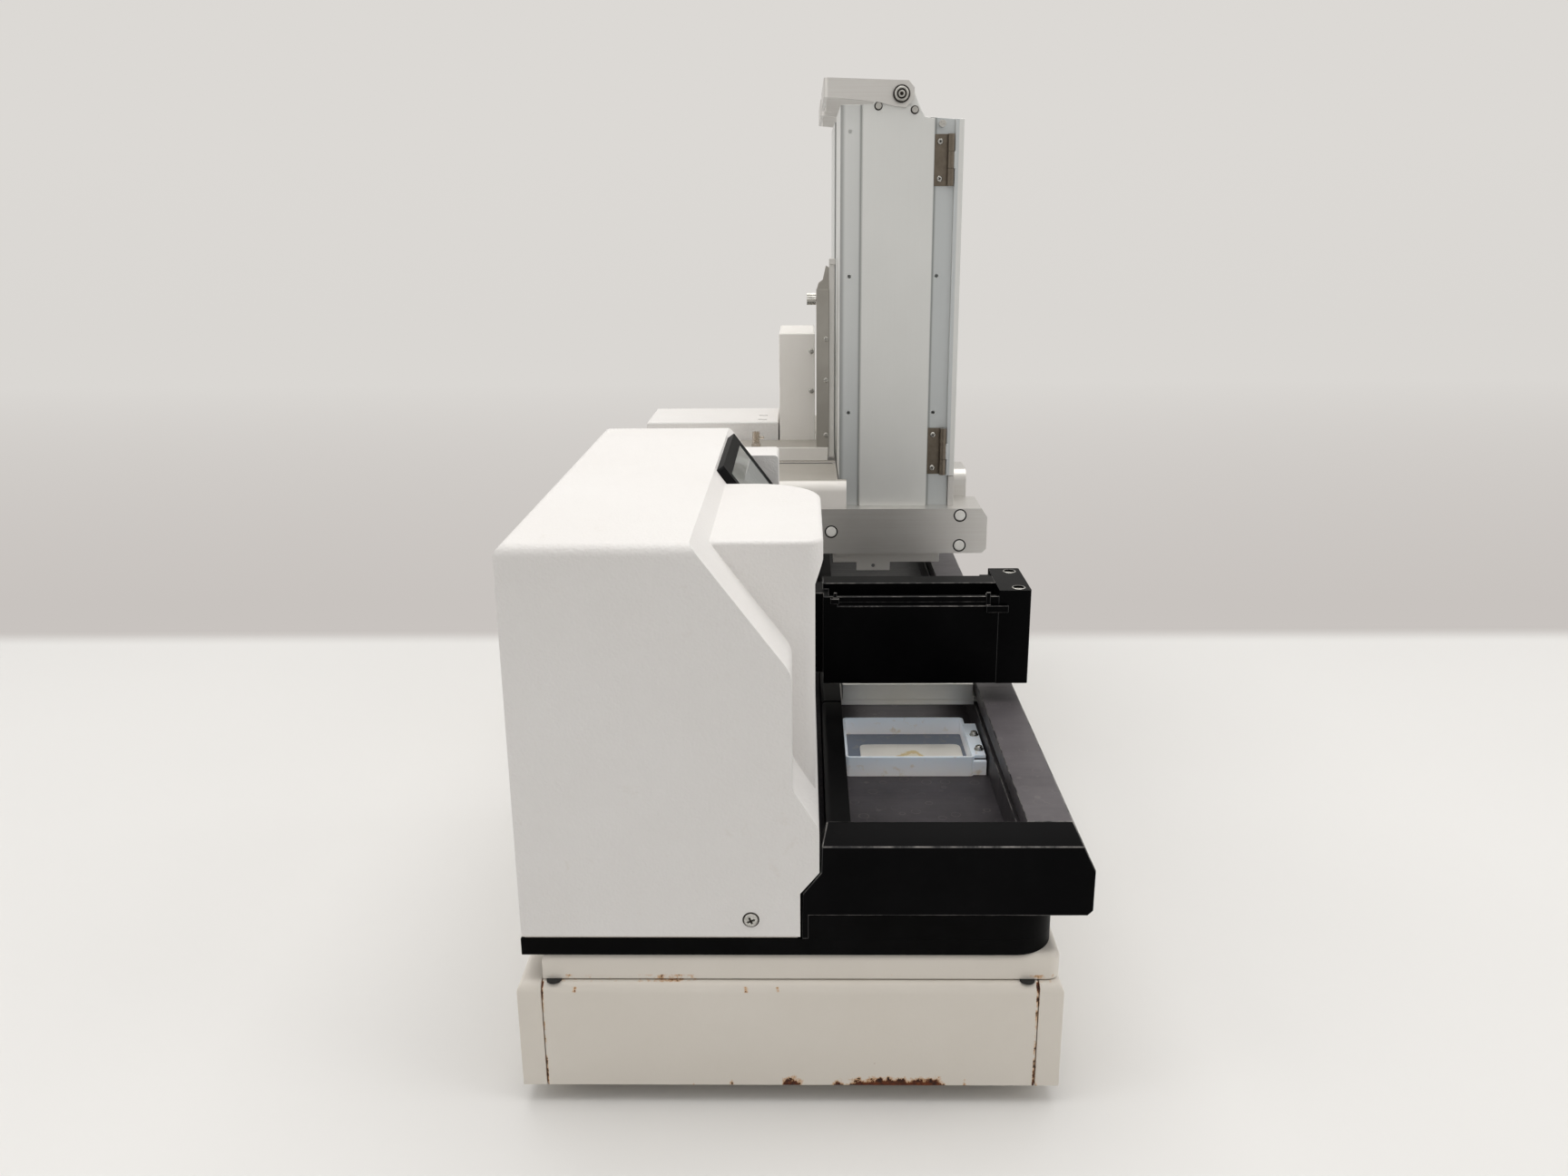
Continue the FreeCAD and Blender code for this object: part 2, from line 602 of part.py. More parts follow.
def pulley(d, shaft_start):
    """A toothed pulley with a rim on each side of the belt, on its own shaft."""
    r0, r1 = PULLEY_START, PULLEY_START + PULLEY_WIDTH
    drum = rod_across(r0, r1, d, PULLEY_Z, PULLEY_RADIUS)
    grooves = []
    for i in range(TOOTH_COUNT):
        turn = 2 * math.pi * i / TOOTH_COUNT
        outline = []
        for reach, spread in ((TOOTH_DEPTH, -0.6), (-1.0, -1.1), (-1.0, 1.1), (TOOTH_DEPTH, 0.6)):
            radius, angle = PULLEY_RADIUS - reach, turn + spread * TOOTH_GAP / 2 / PULLEY_RADIUS
            outline.append((d + radius * math.cos(angle), PULLEY_Z + radius * math.sin(angle)))
        grooves.append(slab_across(outline, r0 - 1, r1 + 1))
    rims = [rod_across(r - RIM_THICK if r == r0 else r, r if r == r0 else r + RIM_THICK, d, PULLEY_Z,
                       PULLEY_RADIUS + RIM_RISE) for r in (r0, r1)]
    shaft = rod_across(shaft_start, TRACK_EDGE - 1, d, PULLEY_Z, SHAFT_RADIUS)
    return join(drum.cut(group(grooves)), shaft, *rims)


def drive_motor():
    """A round motor in a saddle, with the bore that takes the pulley's shaft."""
    r0, r1 = TRACK_FRONT - 1 - MOTOR_LENGTH, TRACK_FRONT - 1
    body = rod_across(r0, r1, MOTOR_D, PULLEY_Z, MOTOR_RADIUS)
    saddle = block(MOTOR_D - MOTOR_RADIUS, MOTOR_D + MOTOR_RADIUS, r0, r1, TRACK_FLOOR, PULLEY_Z - 3)
    bore = rod_across(r1 - 8, r1 + 1, MOTOR_D, PULLEY_Z, SHAFT_RADIUS + RUNNING_FIT)
    return join(body, saddle).cut(bore)


# Plate carriage: a sled with tongues in both slots, and a low wall round the plate
CARRIAGE_SPACE = 31.0
CARRIAGE_START = NOSE_END + CARRIAGE_SPACE
NEST_WALL = 2.2
NEST_GAP = 0.35
SLED_THICK = 4.0
SLED_BASE = SLOT_BASE + 1.5
SLED_TOP = SLED_BASE + SLED_THICK
SEAT_RISE = 0.5
SEAT_GAP = 0.15
NEST_TOP = RAIL_TOP - 0.5
NEST_LEDGE = 4.0
TONGUE = 5.5
TONGUE_LENGTH = 40.0
NEST_START = CARRIAGE_START + NEST_WALL
NEST_END = NEST_START + PLATE_LENGTH + 2 * NEST_GAP
CARRIAGE_END = NEST_END + NEST_WALL
NEST_REAR = TRACK_MIDDLE - PLATE_WIDTH / 2 - NEST_GAP
NEST_FRONT = TRACK_MIDDLE + PLATE_WIDTH / 2 + NEST_GAP
NEST_CORNER = 17.0
WINDOW_END = 16.0
WINDOW_SIDE = 9.0
WINDOW_ROUND = 5.0
CLAMP_HALF = 12.0


def carriage_sled():
    """The sled with the plate's raised seat, a window, four tongues and the clamp on the belt's upper run."""
    sled = block(CARRIAGE_START, CARRIAGE_END, TRACK_REAR + 1, TRACK_FRONT - 1, SLED_BASE, SLED_TOP)
    window = block(NEST_START + WINDOW_END, NEST_END - WINDOW_END, NEST_REAR + WINDOW_SIDE,
                   NEST_FRONT - WINDOW_SIDE, SLED_BASE - 1, SLED_TOP + 2)
    seat = block(NEST_START + SEAT_GAP, NEST_END - SEAT_GAP, NEST_REAR + SEAT_GAP, NEST_FRONT - SEAT_GAP,
                 SLED_TOP - 1, SLED_TOP + SEAT_RISE)
    sled = join(sled, seat).cut(soften(window, WINDOW_ROUND, is_upright))
    tongues = []
    for r0, r1 in ((TRACK_REAR - TONGUE, TRACK_REAR + 2), (TRACK_FRONT - 2, TRACK_FRONT + TONGUE)):
        for d0 in (CARRIAGE_START + 6, CARRIAGE_END - 6 - TONGUE_LENGTH):
            tongues.append(block(d0, d0 + TONGUE_LENGTH, r0, r1, SLED_BASE, SLED_TOP))
    middle = (CARRIAGE_START + CARRIAGE_END) / 2
    clamp = block(middle - CLAMP_HALF, middle + CLAMP_HALF, TRACK_FRONT - 2, PULLEY_START + PULLEY_WIDTH,
                  BELT_TOP + CLEARANCE, SLED_TOP)
    return join(sled, clamp, *tongues)


def plate_nest():
    """The wall round the plate: whole at the near end, and cut down between the other corners."""
    outer = block(CARRIAGE_START, CARRIAGE_END, TRACK_REAR + 2, TRACK_FRONT - 2, SLED_TOP, NEST_TOP)
    inner = block(NEST_START, NEST_END, NEST_REAR, NEST_FRONT, SLED_TOP - 1, NEST_TOP + 1)
    low = SLED_TOP + NEST_LEDGE
    sides = block(NEST_START + NEST_CORNER, NEST_END - NEST_CORNER, TRACK_REAR, TRACK_FRONT, low,
                  NEST_TOP + 1)
    far = block(NEST_END - 1, CARRIAGE_END + 1, NEST_REAR + NEST_CORNER, NEST_FRONT - NEST_CORNER, low,
                NEST_TOP + 1)
    return outer.cut(inner).cut(sides).cut(far)


# Waste trough under the tips, with a pad in it and a flange for two thumb screws
TROUGH_REACH = 46.0
TROUGH_START = NOSE_END - TROUGH_REACH
TROUGH_LENGTH = 72.5
TROUGH_HEIGHT = 14.5
TROUGH_WALL = 1.6
FLANGE_WIDTH = 8.0
FLANGE_THICK = 2.0
THUMB_RADIUS = 3.2
THUMB_SHANK = 1.6
TROUGH_END = TROUGH_START + TROUGH_LENGTH
TROUGH_REAR = TRACK_REAR + 2.2
TROUGH_FRONT = TRACK_FRONT - 10.0
TROUGH_TOP = TRACK_FLOOR + TROUGH_HEIGHT
FLANGE_FRONT = TROUGH_FRONT + FLANGE_WIDTH
TROUGH_SCREW_R = TROUGH_FRONT + 4.4
TROUGH_SCREW_D = (TROUGH_START + 13.0, TROUGH_START + 39.0)
PAD_THICK = 2.4
PAD_GAP = 2.5


def waste_trough():
    body = block(TROUGH_START, TROUGH_END, TROUGH_REAR, TROUGH_FRONT, TRACK_FLOOR, TROUGH_TOP)
    body = soften(body, 3.0, is_upright)
    well = block(TROUGH_START + TROUGH_WALL, TROUGH_END - TROUGH_WALL, TROUGH_REAR + TROUGH_WALL,
                 TROUGH_FRONT - TROUGH_WALL, TRACK_FLOOR + TROUGH_WALL, TROUGH_TOP + 1)
    well = soften(well, 3.0 - TROUGH_WALL, is_upright)
    flange = block(TROUGH_START + 3, TROUGH_END - 12, TROUGH_FRONT - 1, FLANGE_FRONT,
                   TROUGH_TOP - FLANGE_THICK, TROUGH_TOP)
    trough = join(body, flange).cut(well)
    for d in TROUGH_SCREW_D:
        foot, head = vec(d, TROUGH_SCREW_R, TROUGH_TOP - 3), vec(d, TROUGH_SCREW_R, TROUGH_TOP + 1)
        trough = trough.cut(pin(foot, head, THUMB_SHANK + 0.2))
    return trough


def trough_pad():
    gap = TROUGH_WALL + PAD_GAP
    return block(TROUGH_START + gap, TROUGH_END - gap, TROUGH_REAR + gap, TROUGH_FRONT - gap,
                 TRACK_FLOOR + TROUGH_WALL, TRACK_FLOOR + TROUGH_WALL + PAD_THICK)


def trough_screws():
    """Pan-headed screws that clamp the trough's flange, each on a washer."""
    screws = []
    for d in TROUGH_SCREW_D:
        tip, seat, face, top = [vec(d, TROUGH_SCREW_R, TROUGH_TOP + rise) for rise in (-9.0, 0.0, 0.8, 3.2)]
        washer = pin(seat, face, THUMB_RADIUS, 16)
        screws.append(join(washer, pin(face, top, THUMB_RADIUS - 0.7, 16), pin(tip, seat, THUMB_SHANK)))
    return group(screws)


# Dispensing arm: a black beam over the track, on an upright slide at the housing's front
ARM_OVERLAP = 8.0
ARM_START = NOSE_END - ARM_OVERLAP
ARM_DEPTH = 38.0
ARM_LENGTH = 123.5
ARM_LIFT = 67.0
ARM_HEIGHT = 69.3
ARM_WALL = 3.5
ARM_STEP = 4.3
ARM_SLOT_WIDTH = 16.0
ARM_SLOT_DEPTH = 35.3
ARM_ROUND = 1.5
END_DEPTH = 58.0
END_LENGTH = 22.5
ARM_END = ARM_START + ARM_DEPTH
ARM_REAR = RAIL_REAR + 1.0
ARM_FRONT = ARM_REAR + ARM_LENGTH
END_FRONT = ARM_FRONT + END_LENGTH
ARM_BASE = TRACK_BASE + ARM_LIFT
ARM_TOP = ARM_BASE + ARM_HEIGHT
ARM_LEDGE = ARM_TOP - ARM_STEP
SLOT_START = ARM_START + ARM_WALL
SLOT_END = SLOT_START + ARM_SLOT_WIDTH
ARM_SLOT_BASE = ARM_TOP - ARM_SLOT_DEPTH
TIP_PITCH = 9.0
TIP_COUNT = 8
TIP_RADIUS = 1.5
TIP_GAP = 0.7
TIP_REACH = 4.0
BAR_END = 12.0
BAR_HEIGHT = 10.0
TIP_D = (SLOT_START + SLOT_END) / 2
GUIDE_D = ARM_START + 24.5
GUIDE_WIDTH = 23.0
GUIDE_NECK = 15.0
GUIDE_STAND = 3.2
GUIDE_THICK = 3.4
GUIDE_BASE = TOE_TOP + NECK_RISE + 3.2
GUIDE_HEIGHT = 57.0
SLIDER_HEIGHT = 30.0
ARM_DOWN = 4.0
SLIDER_BASE = GUIDE_BASE + ARM_DOWN + 0.8
SLIDER_WALL = 3.5
ROOT_BASE = ARM_BASE + ARM_DOWN + 1.0
ARM_REAR_WALL = 4.0
TIP_PLACES = [TRACK_MIDDLE + TIP_PITCH * (i - (TIP_COUNT - 1) / 2) for i in range(TIP_COUNT)]
ARM_SCREW_STEPS = (7.5, 49.8)
ARM_SCREW_D = [ARM_START + step for step in ARM_SCREW_STEPS]
ARM_SCREW_R = ARM_FRONT + 14.5
ARM_SINK = 4.0
CLIP_RISE = 3.2
CLIP_REACH = 3.6
CLIP_PLACES = (((-56.8, -54.6), (-59.2, -53.0), 4.4, 0.6), ((50.2, 53.2), (50.2, 65.8), 11.0, 6.0))
ARM_HEAD = 3.4


def guide_section(gap, r0, z0, z1):
    """The T-shaped guide, or the groove that runs on it."""
    head = block(GUIDE_D - GUIDE_WIDTH / 2 - gap, GUIDE_D + GUIDE_WIDTH / 2 + gap, r0 + GUIDE_STAND - gap,
                 r0 + GUIDE_STAND + GUIDE_THICK + gap, z0, z1)
    neck = block(GUIDE_D - GUIDE_NECK / 2 - gap, GUIDE_D + GUIDE_NECK / 2 + gap, r0,
                 r0 + GUIDE_STAND + 1, z0, z1)
    return join(head, neck)


def lift_guide():
    return guide_section(0, HOUSING_FRONT, GUIDE_BASE, GUIDE_BASE + GUIDE_HEIGHT)


def arm_beam():
    """The beam with its channel, the slit for the tips, and the bearing that hooks round the guide."""
    outline = [(ARM_START, ARM_BASE), (ARM_END, ARM_BASE), (ARM_END, ARM_TOP), (SLOT_END, ARM_TOP),
               (SLOT_END, ARM_SLOT_BASE), (SLOT_START, ARM_SLOT_BASE), (SLOT_START, ARM_LEDGE),
               (ARM_START, ARM_LEDGE)]
    body = slab_across(outline, ARM_REAR, ARM_FRONT)
    body = body.cut(block(ARM_START - 1, ARM_START + 0.8, ARM_REAR + 10, ARM_FRONT - 8, ARM_LEDGE - 7.2,
                          ARM_LEDGE - 4))
    margin = TIP_RADIUS + TIP_GAP
    tip_slot = block(TIP_D - margin, TIP_D + margin, TIP_PLACES[0] - margin, TIP_PLACES[-1] + margin,
                     ARM_BASE - 1, ARM_SLOT_BASE + 1)
    body = body.cut(tip_slot)
    guide_front = HOUSING_FRONT + GUIDE_STAND + GUIDE_THICK
    half = GUIDE_WIDTH / 2 + SLIDER_WALL
    root = block(GUIDE_D - half, ARM_END, guide_front + 2, ARM_REAR + 1, ROOT_BASE, ARM_LEDGE)
    rear_wall = block(ARM_START, SLOT_END, ARM_REAR, ARM_REAR + ARM_REAR_WALL, ARM_BASE, ARM_LEDGE)
    slider = block(GUIDE_D - half, GUIDE_D + half, HOUSING_FRONT + 0.8, guide_front + 2.5, SLIDER_BASE,
                   SLIDER_BASE + SLIDER_HEIGHT)
    slider = slider.cut(guide_section(RUNNING_FIT, HOUSING_FRONT, SLIDER_BASE - 1,
                                      SLIDER_BASE + SLIDER_HEIGHT + 1))
    return join(body, root, rear_wall, slider)


def arm_end_block():
    body = block(ARM_START, ARM_START + END_DEPTH, ARM_FRONT, END_FRONT, ARM_BASE, ARM_TOP)
    body = soften(body, ARM_ROUND, at_front(END_FRONT))
    body = join(body, block(ARM_END, ARM_END + 8, ARM_FRONT - 8, ARM_FRONT + 1, ARM_TOP - 12, ARM_TOP - 1.5))
    for d in ARM_SCREW_D:
        body = body.cut(rod_up(ARM_TOP - ARM_SINK, ARM_TOP + 1, d, ARM_SCREW_R, ARM_HEAD + 0.6))
        body = body.cut(pin(vec(d, ARM_SCREW_R, ARM_TOP - 14), vec(d, ARM_SCREW_R, ARM_TOP - 3), SCREW_SHANK))
    return body


def arm_screws():
    """Socket screws sunk in the end block."""
    screws = []
    for d in ARM_SCREW_D:
        head = rod_up(ARM_TOP - ARM_SINK, ARM_TOP - 0.8, d, ARM_SCREW_R, ARM_HEAD)
        tip, neck = vec(d, ARM_SCREW_R, ARM_TOP - 13), vec(d, ARM_SCREW_R, ARM_TOP - 3)
        shank = pin(tip, neck, SCREW_SHANK - RUNNING_FIT)
        screws.append(join(head, shank))
    return group(screws)


def tip_bar():
    """The bar that lies in the arm's slot, with its row of steel dispensing tubes."""
    bar = block(SLOT_START + 1, SLOT_END - 1, TIP_PLACES[0] - BAR_END, TIP_PLACES[-1] + BAR_END,
                ARM_SLOT_BASE, ARM_SLOT_BASE + BAR_HEIGHT)
    tubes = []
    for r in TIP_PLACES:
        tubes.append(pin(vec(TIP_D, r, ARM_BASE - TIP_REACH), vec(TIP_D, r, ARM_SLOT_BASE + 1), TIP_RADIUS))
    return join(bar, *tubes)


def arm_clips():
    """Two folded steel clips over the near wall of the arm, each with a narrow tongue and a broader foot."""
    clips = []
    for tongue, foot, low, high in CLIP_PLACES:
        r0, r1 = TRACK_MIDDLE + tongue[0], TRACK_MIDDLE + tongue[1]
        outer = block(ARM_START - 1.2, SLOT_START + 0.8, r0, r1, ARM_LEDGE - low, ARM_LEDGE + 1.2)
        inner = block(ARM_START, SLOT_START, r0 - 1, r1 + 1, ARM_LEDGE - low - 1, ARM_LEDGE)
        upstand = block(ARM_START - 1.2, ARM_START, r0, r1, ARM_LEDGE - 2, ARM_LEDGE + CLIP_RISE)
        plate = block(ARM_START - CLIP_REACH, ARM_START, TRACK_MIDDLE + foot[0], TRACK_MIDDLE + foot[1],
                      ARM_LEDGE - low, ARM_LEDGE - high)
        clips.append(join(outer.cut(inner), upstand, plate))
    return group(clips)


# Stacker frame: a casing under the track, a column behind it and a deck over it
STACK_REAR = 20.0
COVER_LENGTH = 51.0
COVER_HEIGHT = 41.7
COVER_SHEET = 3.0
DECK_THICK = 10.0
DECK_FRONT = TOWER_FRONT + 22.0
DECK_END = STACK_END - 30.0
COVER_BASE = DECK_TOP - COVER_HEIGHT
COVER_END = STACK_START + COVER_LENGTH
PLUG_RADIUS = 5.6
PLUG_PLACES = ((-52.6, 20.6), (64.4, 35.3), (64.4, 7.3))
GRIP_RAIL_HALF = 12.0
GRIP_NECK_HALF = 7.0
GRIP_STAND = 3.2
GRIP_THICK = 3.8


def stacker_base():
    outer = block(STACK_START, STACK_END, STACK_REAR, STACK_REAR + STACK_DEPTH, CABINET_BASE, TRACK_BASE)
    inner = block(STACK_START + SHEET, STACK_END - SHEET, STACK_REAR + SHEET,
                  STACK_REAR + STACK_DEPTH - SHEET, CABINET_BASE + SHEET, TRACK_BASE - SHEET)
    return soften(outer, CABINET_BEND, is_upright).cut(soften(inner, CABINET_BEND - SHEET, is_upright))


def grip_rail_section(middle, gap, z0, z1):
    """The T-shaped rail of one gripper, or the groove that runs on it."""
    head = block(middle - GRIP_RAIL_HALF - gap, middle + GRIP_RAIL_HALF + gap,
                 COLUMN_FRONT + GRIP_STAND - gap, COLUMN_FRONT + GRIP_STAND + GRIP_THICK + gap, z0, z1)
    neck = block(middle - GRIP_NECK_HALF - gap, middle + GRIP_NECK_HALF + gap, COLUMN_FRONT - 1,
                 COLUMN_FRONT + GRIP_STAND + 1, z0, z1)
    return join(head, neck)


def stacker_column():
    """The column behind the track, with a rail on its front for each gripper."""
    d0, d1 = STACK_START + 3, STACK_END - 4
    outer = block(d0, d1, STACK_REAR, COLUMN_FRONT, TRACK_BASE, DECK_TOP)
    outer = outer.cut(block(d0 - 1, d1 + 1, HOUSING_FOOT, COLUMN_FRONT + 1, TRACK_BASE - 1,
                            BED_TOP + CLEARANCE))
    outer = outer.cut(block(TRACK_END - CAP_LENGTH - CLEARANCE, d1 + 1, HOUSING_FOOT, COLUMN_FRONT + 1,
                            TRACK_BASE - 1, RAIL_TOP + CLEARANCE))
    inner = block(d0 + SHEET, d1 - SHEET, STACK_REAR + SHEET, HOUSING_FOOT - SHEET, TRACK_BASE + SHEET,
                  DECK_TOP - SHEET)
    rails = []
    for start in TOWER_STARTS:
        rails.append(grip_rail_section(start + TOWER_LENGTH / 2, 0, RAIL_TOP + 4, DECK_TOP - DECK_THICK))
    return join(outer, *rails).cut(inner)


def pass_opening(start, z0, z1):
    """The opening that a plate drops through, under one tower."""
    return block(start + TOWER_WALL, start + TOWER_LENGTH - TOWER_WALL, TOWER_REAR + TOWER_WALL,
                 TRACK_MIDDLE + PLATE_WIDTH / 2 + 3 * PLATE_GAP, z0, z1)


def deck_cover():
    """The folded cover at the deck's near end, open below, with its front corner cut off."""
    z0, z1 = COVER_BASE, DECK_TOP
    outline = [(COLUMN_FRONT, z0), (COVER_FRONT - 4, z0), (COVER_FRONT, z0 + 4), (COVER_FRONT, z1 - 8),
               (COVER_FRONT - 5.4, z1), (COLUMN_FRONT, z1)]
    sheet = COVER_SHEET
    inside = [(COLUMN_FRONT - 1, z0 - 1), (COVER_FRONT - 4 - sheet, z0 - 1), (COVER_FRONT - sheet, z0 + 4),
              (COVER_FRONT - sheet, z1 - 8 - sheet / 2), (COVER_FRONT - 5.4 - sheet / 2, z1 - sheet),
              (COLUMN_FRONT - 1, z1 - sheet)]
    body = slab_along(outline, STACK_START, COVER_END)
    body = body.cut(slab_along(inside, STACK_START + sheet, COVER_END + 1))
    body = body.cut(pass_opening(TOWER_START, z0 - 1, z1 + 1))
    for step, rise in PLUG_PLACES:
        body = body.cut(rod_along(STACK_START - 1, STACK_START + sheet + 1, TRACK_MIDDLE + step, z0 + rise,
                                  PLUG_RADIUS))
    return body


def cover_plugs():
    """The round caps pressed into the cover's face."""
    plugs = []
    for step, rise in PLUG_PLACES:
        plugs.append(rod_along(STACK_START + 0.4, STACK_START + COVER_SHEET, TRACK_MIDDLE + step,
                               COVER_BASE + rise, PLUG_RADIUS))
    return group(plugs)


def deck_plate():
    plate = block(COVER_END, DECK_END, COLUMN_FRONT, DECK_FRONT, DECK_TOP - DECK_THICK, DECK_TOP)
    for start in TOWER_STARTS:
        plate = plate.cut(pass_opening(start, DECK_TOP - DECK_THICK - 1, DECK_TOP + 1))
    return plate


# On the deck: bright casings on the column, and the stops that hold each tower's front
CAP_HEIGHT = 25.5
CAP_FRONT = TOWER_REAR - 1.2
NEAR_CAP_LENGTH = 87.0
CAP_SPACE = 6.0
CAP_ROUND = 10.0
CAP_WALL = 3.0
CAP_MARGIN = 10.0
CAP_TOP = DECK_TOP + CAP_HEIGHT
NEAR_CAP_END = STACK_START + NEAR_CAP_LENGTH
FAR_CAP_START = NEAR_CAP_END + CAP_SPACE
STOP_OFFSET = 36.0
STOP_LENGTH = 39.0
STOP_REAR = TOWER_FRONT + 7.4
DOOR_THICK = 5.0
DOOR_GAP = 0.4
DOOR_BASE = CAP_TOP + 2.5


def hollow(d0, d1, r0, r1, z0, z1, wall):
    """The inside of a casing that is open below."""
    return block(d0 + wall, d1 - wall, r0 + wall, r1 - wall, z0 - 1, z1 - wall)


def column_caps():
    """Two sheet casings side by side, the near one with a rounded end and a lip beside the tower."""
    near_cap = block(STACK_START, NEAR_CAP_END, STACK_REAR, CAP_FRONT, DECK_TOP, CAP_TOP)
    lip = block(STACK_START, TOWER_START - 7, CAP_FRONT - 1, CAP_FRONT + 7.6, DECK_TOP, CAP_TOP)
    side = x_of(STACK_START)
    near_cap = soften(join(near_cap, lip), CAP_ROUND,
                      lambda a, b: is_across(a, b) and near(a.z, CAP_TOP) and near(a.x, side))
    inside = hollow(STACK_START, NEAR_CAP_END, STACK_REAR, CAP_FRONT, DECK_TOP, CAP_TOP, CAP_WALL)
    inner_side = x_of(STACK_START + CAP_WALL)
    near_cap = near_cap.cut(soften(inside, CAP_ROUND - CAP_WALL, lambda a, b: is_across(a, b)
                                   and near(a.z, CAP_TOP - CAP_WALL) and near(a.x, inner_side)))
    far_end = STACK_END - CAP_MARGIN
    far_cap = block(FAR_CAP_START, far_end, STACK_REAR, CAP_FRONT, DECK_TOP, CAP_TOP)
    far_cap = far_cap.cut(hollow(FAR_CAP_START, far_end, STACK_REAR, CAP_FRONT, DECK_TOP, CAP_TOP, CAP_WALL))
    return group([near_cap, far_cap])


def tower_stops():
    """The fixed lower front of each tower with the block beside it."""
    stops = []
    for start in TOWER_STARTS:
        end = start + TOWER_LENGTH
        shoe_front = TOWER_FRONT + DOOR_GAP + DOOR_THICK
        shoe = block(start, end, TOWER_FRONT + DOOR_GAP, shoe_front, DECK_TOP, DOOR_BASE - 0.6)
        lip = block(start - 4.5, start, TOWER_FRONT + DOOR_GAP, shoe_front, DECK_TOP, DOOR_BASE - 0.6)
        d0 = start + STOP_OFFSET
        body = block(d0, d0 + STOP_LENGTH, STOP_REAR, DECK_FRONT, DECK_TOP, CAP_TOP)
        side = x_of(d0)
        body = soften(body, CAP_ROUND,
                      lambda a, b: is_across(a, b) and near(a.x, side) and near(a.z, CAP_TOP))
        bridge = block(d0, d0 + STOP_LENGTH, shoe_front - 1, STOP_REAR + 1, DECK_TOP, DECK_TOP + 4)
        stops.append(join(shoe, lip, body, bridge))
    return group(stops)


# On the column: a cross beam, the mast that steadies the towers, and two closed boxes
BEAM_OFFSET = 14.0
BEAM_DEPTH = 44.0
BEAM_HEIGHT = 13.4
BEAM_REAR = 100.0
MAST_HEIGHT = 150.0
MAST_DEPTH = 15.0
MAST_WIDTH = 12.0
MAST_FOOT = 5.0
KNOB_DROP = 9.0
KNOB_RADIUS = 5.5
KNOB_NOTCHES = 16
KNOB_CUT = 0.5
KNOB_LENGTH = 9.0
BEAM_START = NEAR_CAP_END + BEAM_OFFSET
BEAM_END = BEAM_START + BEAM_DEPTH
BEAM_TOP = CAP_TOP + BEAM_HEIGHT
MAST_FRONT = TOWER_REAR - 7.6
MAST_REAR = MAST_FRONT - MAST_WIDTH
MAST_TOP = BEAM_TOP + MAST_HEIGHT
STRIP_FRONT = TOWER_REAR - 2.5
KNOB_D = BEAM_START + 9.0
KNOB_Z = MAST_TOP - KNOB_DROP
TALL_LENGTH = 95.0
TALL_WIDTH = 35.5
TALL_HEIGHT = 119.5
TALL_FRONT = MAST_REAR - 1.0
TALL_REAR = TALL_FRONT - TALL_WIDTH
LOW_START = BEAM_END + 2.0
LOW_LENGTH = 97.0
LOW_REAR = STACK_REAR - 8.0
LOW_HEIGHT = 31.5
VENT_LENGTH = 9.0
VENT_WIDTH = 5.0
VENT_PLACES = (14.0, 41.0)
BOX_WALL = 2.5


def cross_beam():
    return block(BEAM_START, BEAM_END, BEAM_REAR, MAST_FRONT - 1, CAP_TOP, BEAM_TOP)


def mast():
    """An upright bar with a foot plate, a hole for the thumb screw and a hooked plate on top."""
    body = block(BEAM_START + 1, BEAM_START + 1 + MAST_DEPTH, MAST_REAR, MAST_FRONT, BEAM_TOP, MAST_TOP)
    foot_plate = block(BEAM_START + 1, BEAM_END - 2, MAST_REAR, MAST_FRONT - 1, BEAM_TOP,
                       BEAM_TOP + MAST_FOOT)
    hook = [(MAST_REAR, MAST_TOP - 1), (MAST_FRONT, MAST_TOP - 1), (MAST_FRONT, MAST_TOP + 20),
            (MAST_FRONT - 3, MAST_TOP + 22), (MAST_FRONT - 6, MAST_TOP + 9), (MAST_REAR + 2, MAST_TOP + 6)]
    body = join(body, foot_plate, slab_along(hook, BEAM_START + 3, BEAM_START + 7))
    return body.cut(rod_across(MAST_REAR - 1, MAST_FRONT + 1, KNOB_D, KNOB_Z, SHAFT_RADIUS + RUNNING_FIT))


def mast_knob():
    """A thumb screw through the mast, its head cut with straight ridges for the fingers."""
    outline = []
    for i in range(2 * KNOB_NOTCHES):
        turn = math.pi * i / KNOB_NOTCHES
        radius = KNOB_RADIUS - (i % 2) * KNOB_CUT
        outline.append((KNOB_D + radius * math.cos(turn), KNOB_Z + radius * math.sin(turn)))
    head = slab_across(outline, MAST_REAR - KNOB_LENGTH, MAST_REAR - CLEARANCE)
    return join(head, rod_across(MAST_REAR - 2, MAST_FRONT - 1, KNOB_D, KNOB_Z, SHAFT_RADIUS))


def guide_strip():
    """The light strip between mast and tower, with a thicker cap."""
    d0, d1 = BEAM_START + 2, BEAM_START + MAST_DEPTH - 3
    strip = block(d0, d1, MAST_FRONT, STRIP_FRONT, BEAM_TOP - 10, MAST_TOP + 24)
    cap = block(d0 - 1, d1 + 1, MAST_FRONT, STRIP_FRONT + 0.8, MAST_TOP + 23, MAST_TOP + 28)
    return join(strip, cap)


def tall_box():
    top = CAP_TOP + TALL_HEIGHT
    body = block(BEAM_END + 1, BEAM_END + 1 + TALL_LENGTH, TALL_REAR, TALL_FRONT, CAP_TOP, top)
    flange = block(BEAM_END, BEAM_END + 1 + TALL_LENGTH, TALL_REAR, TALL_FRONT + 1.5, CAP_TOP, CAP_TOP + 4)
    inside = hollow(BEAM_END + 1, BEAM_END + 1 + TALL_LENGTH, TALL_REAR, TALL_FRONT, CAP_TOP, top, BOX_WALL)
    return join(soften(body, 2.0, at_level(top)), flange).cut(inside)


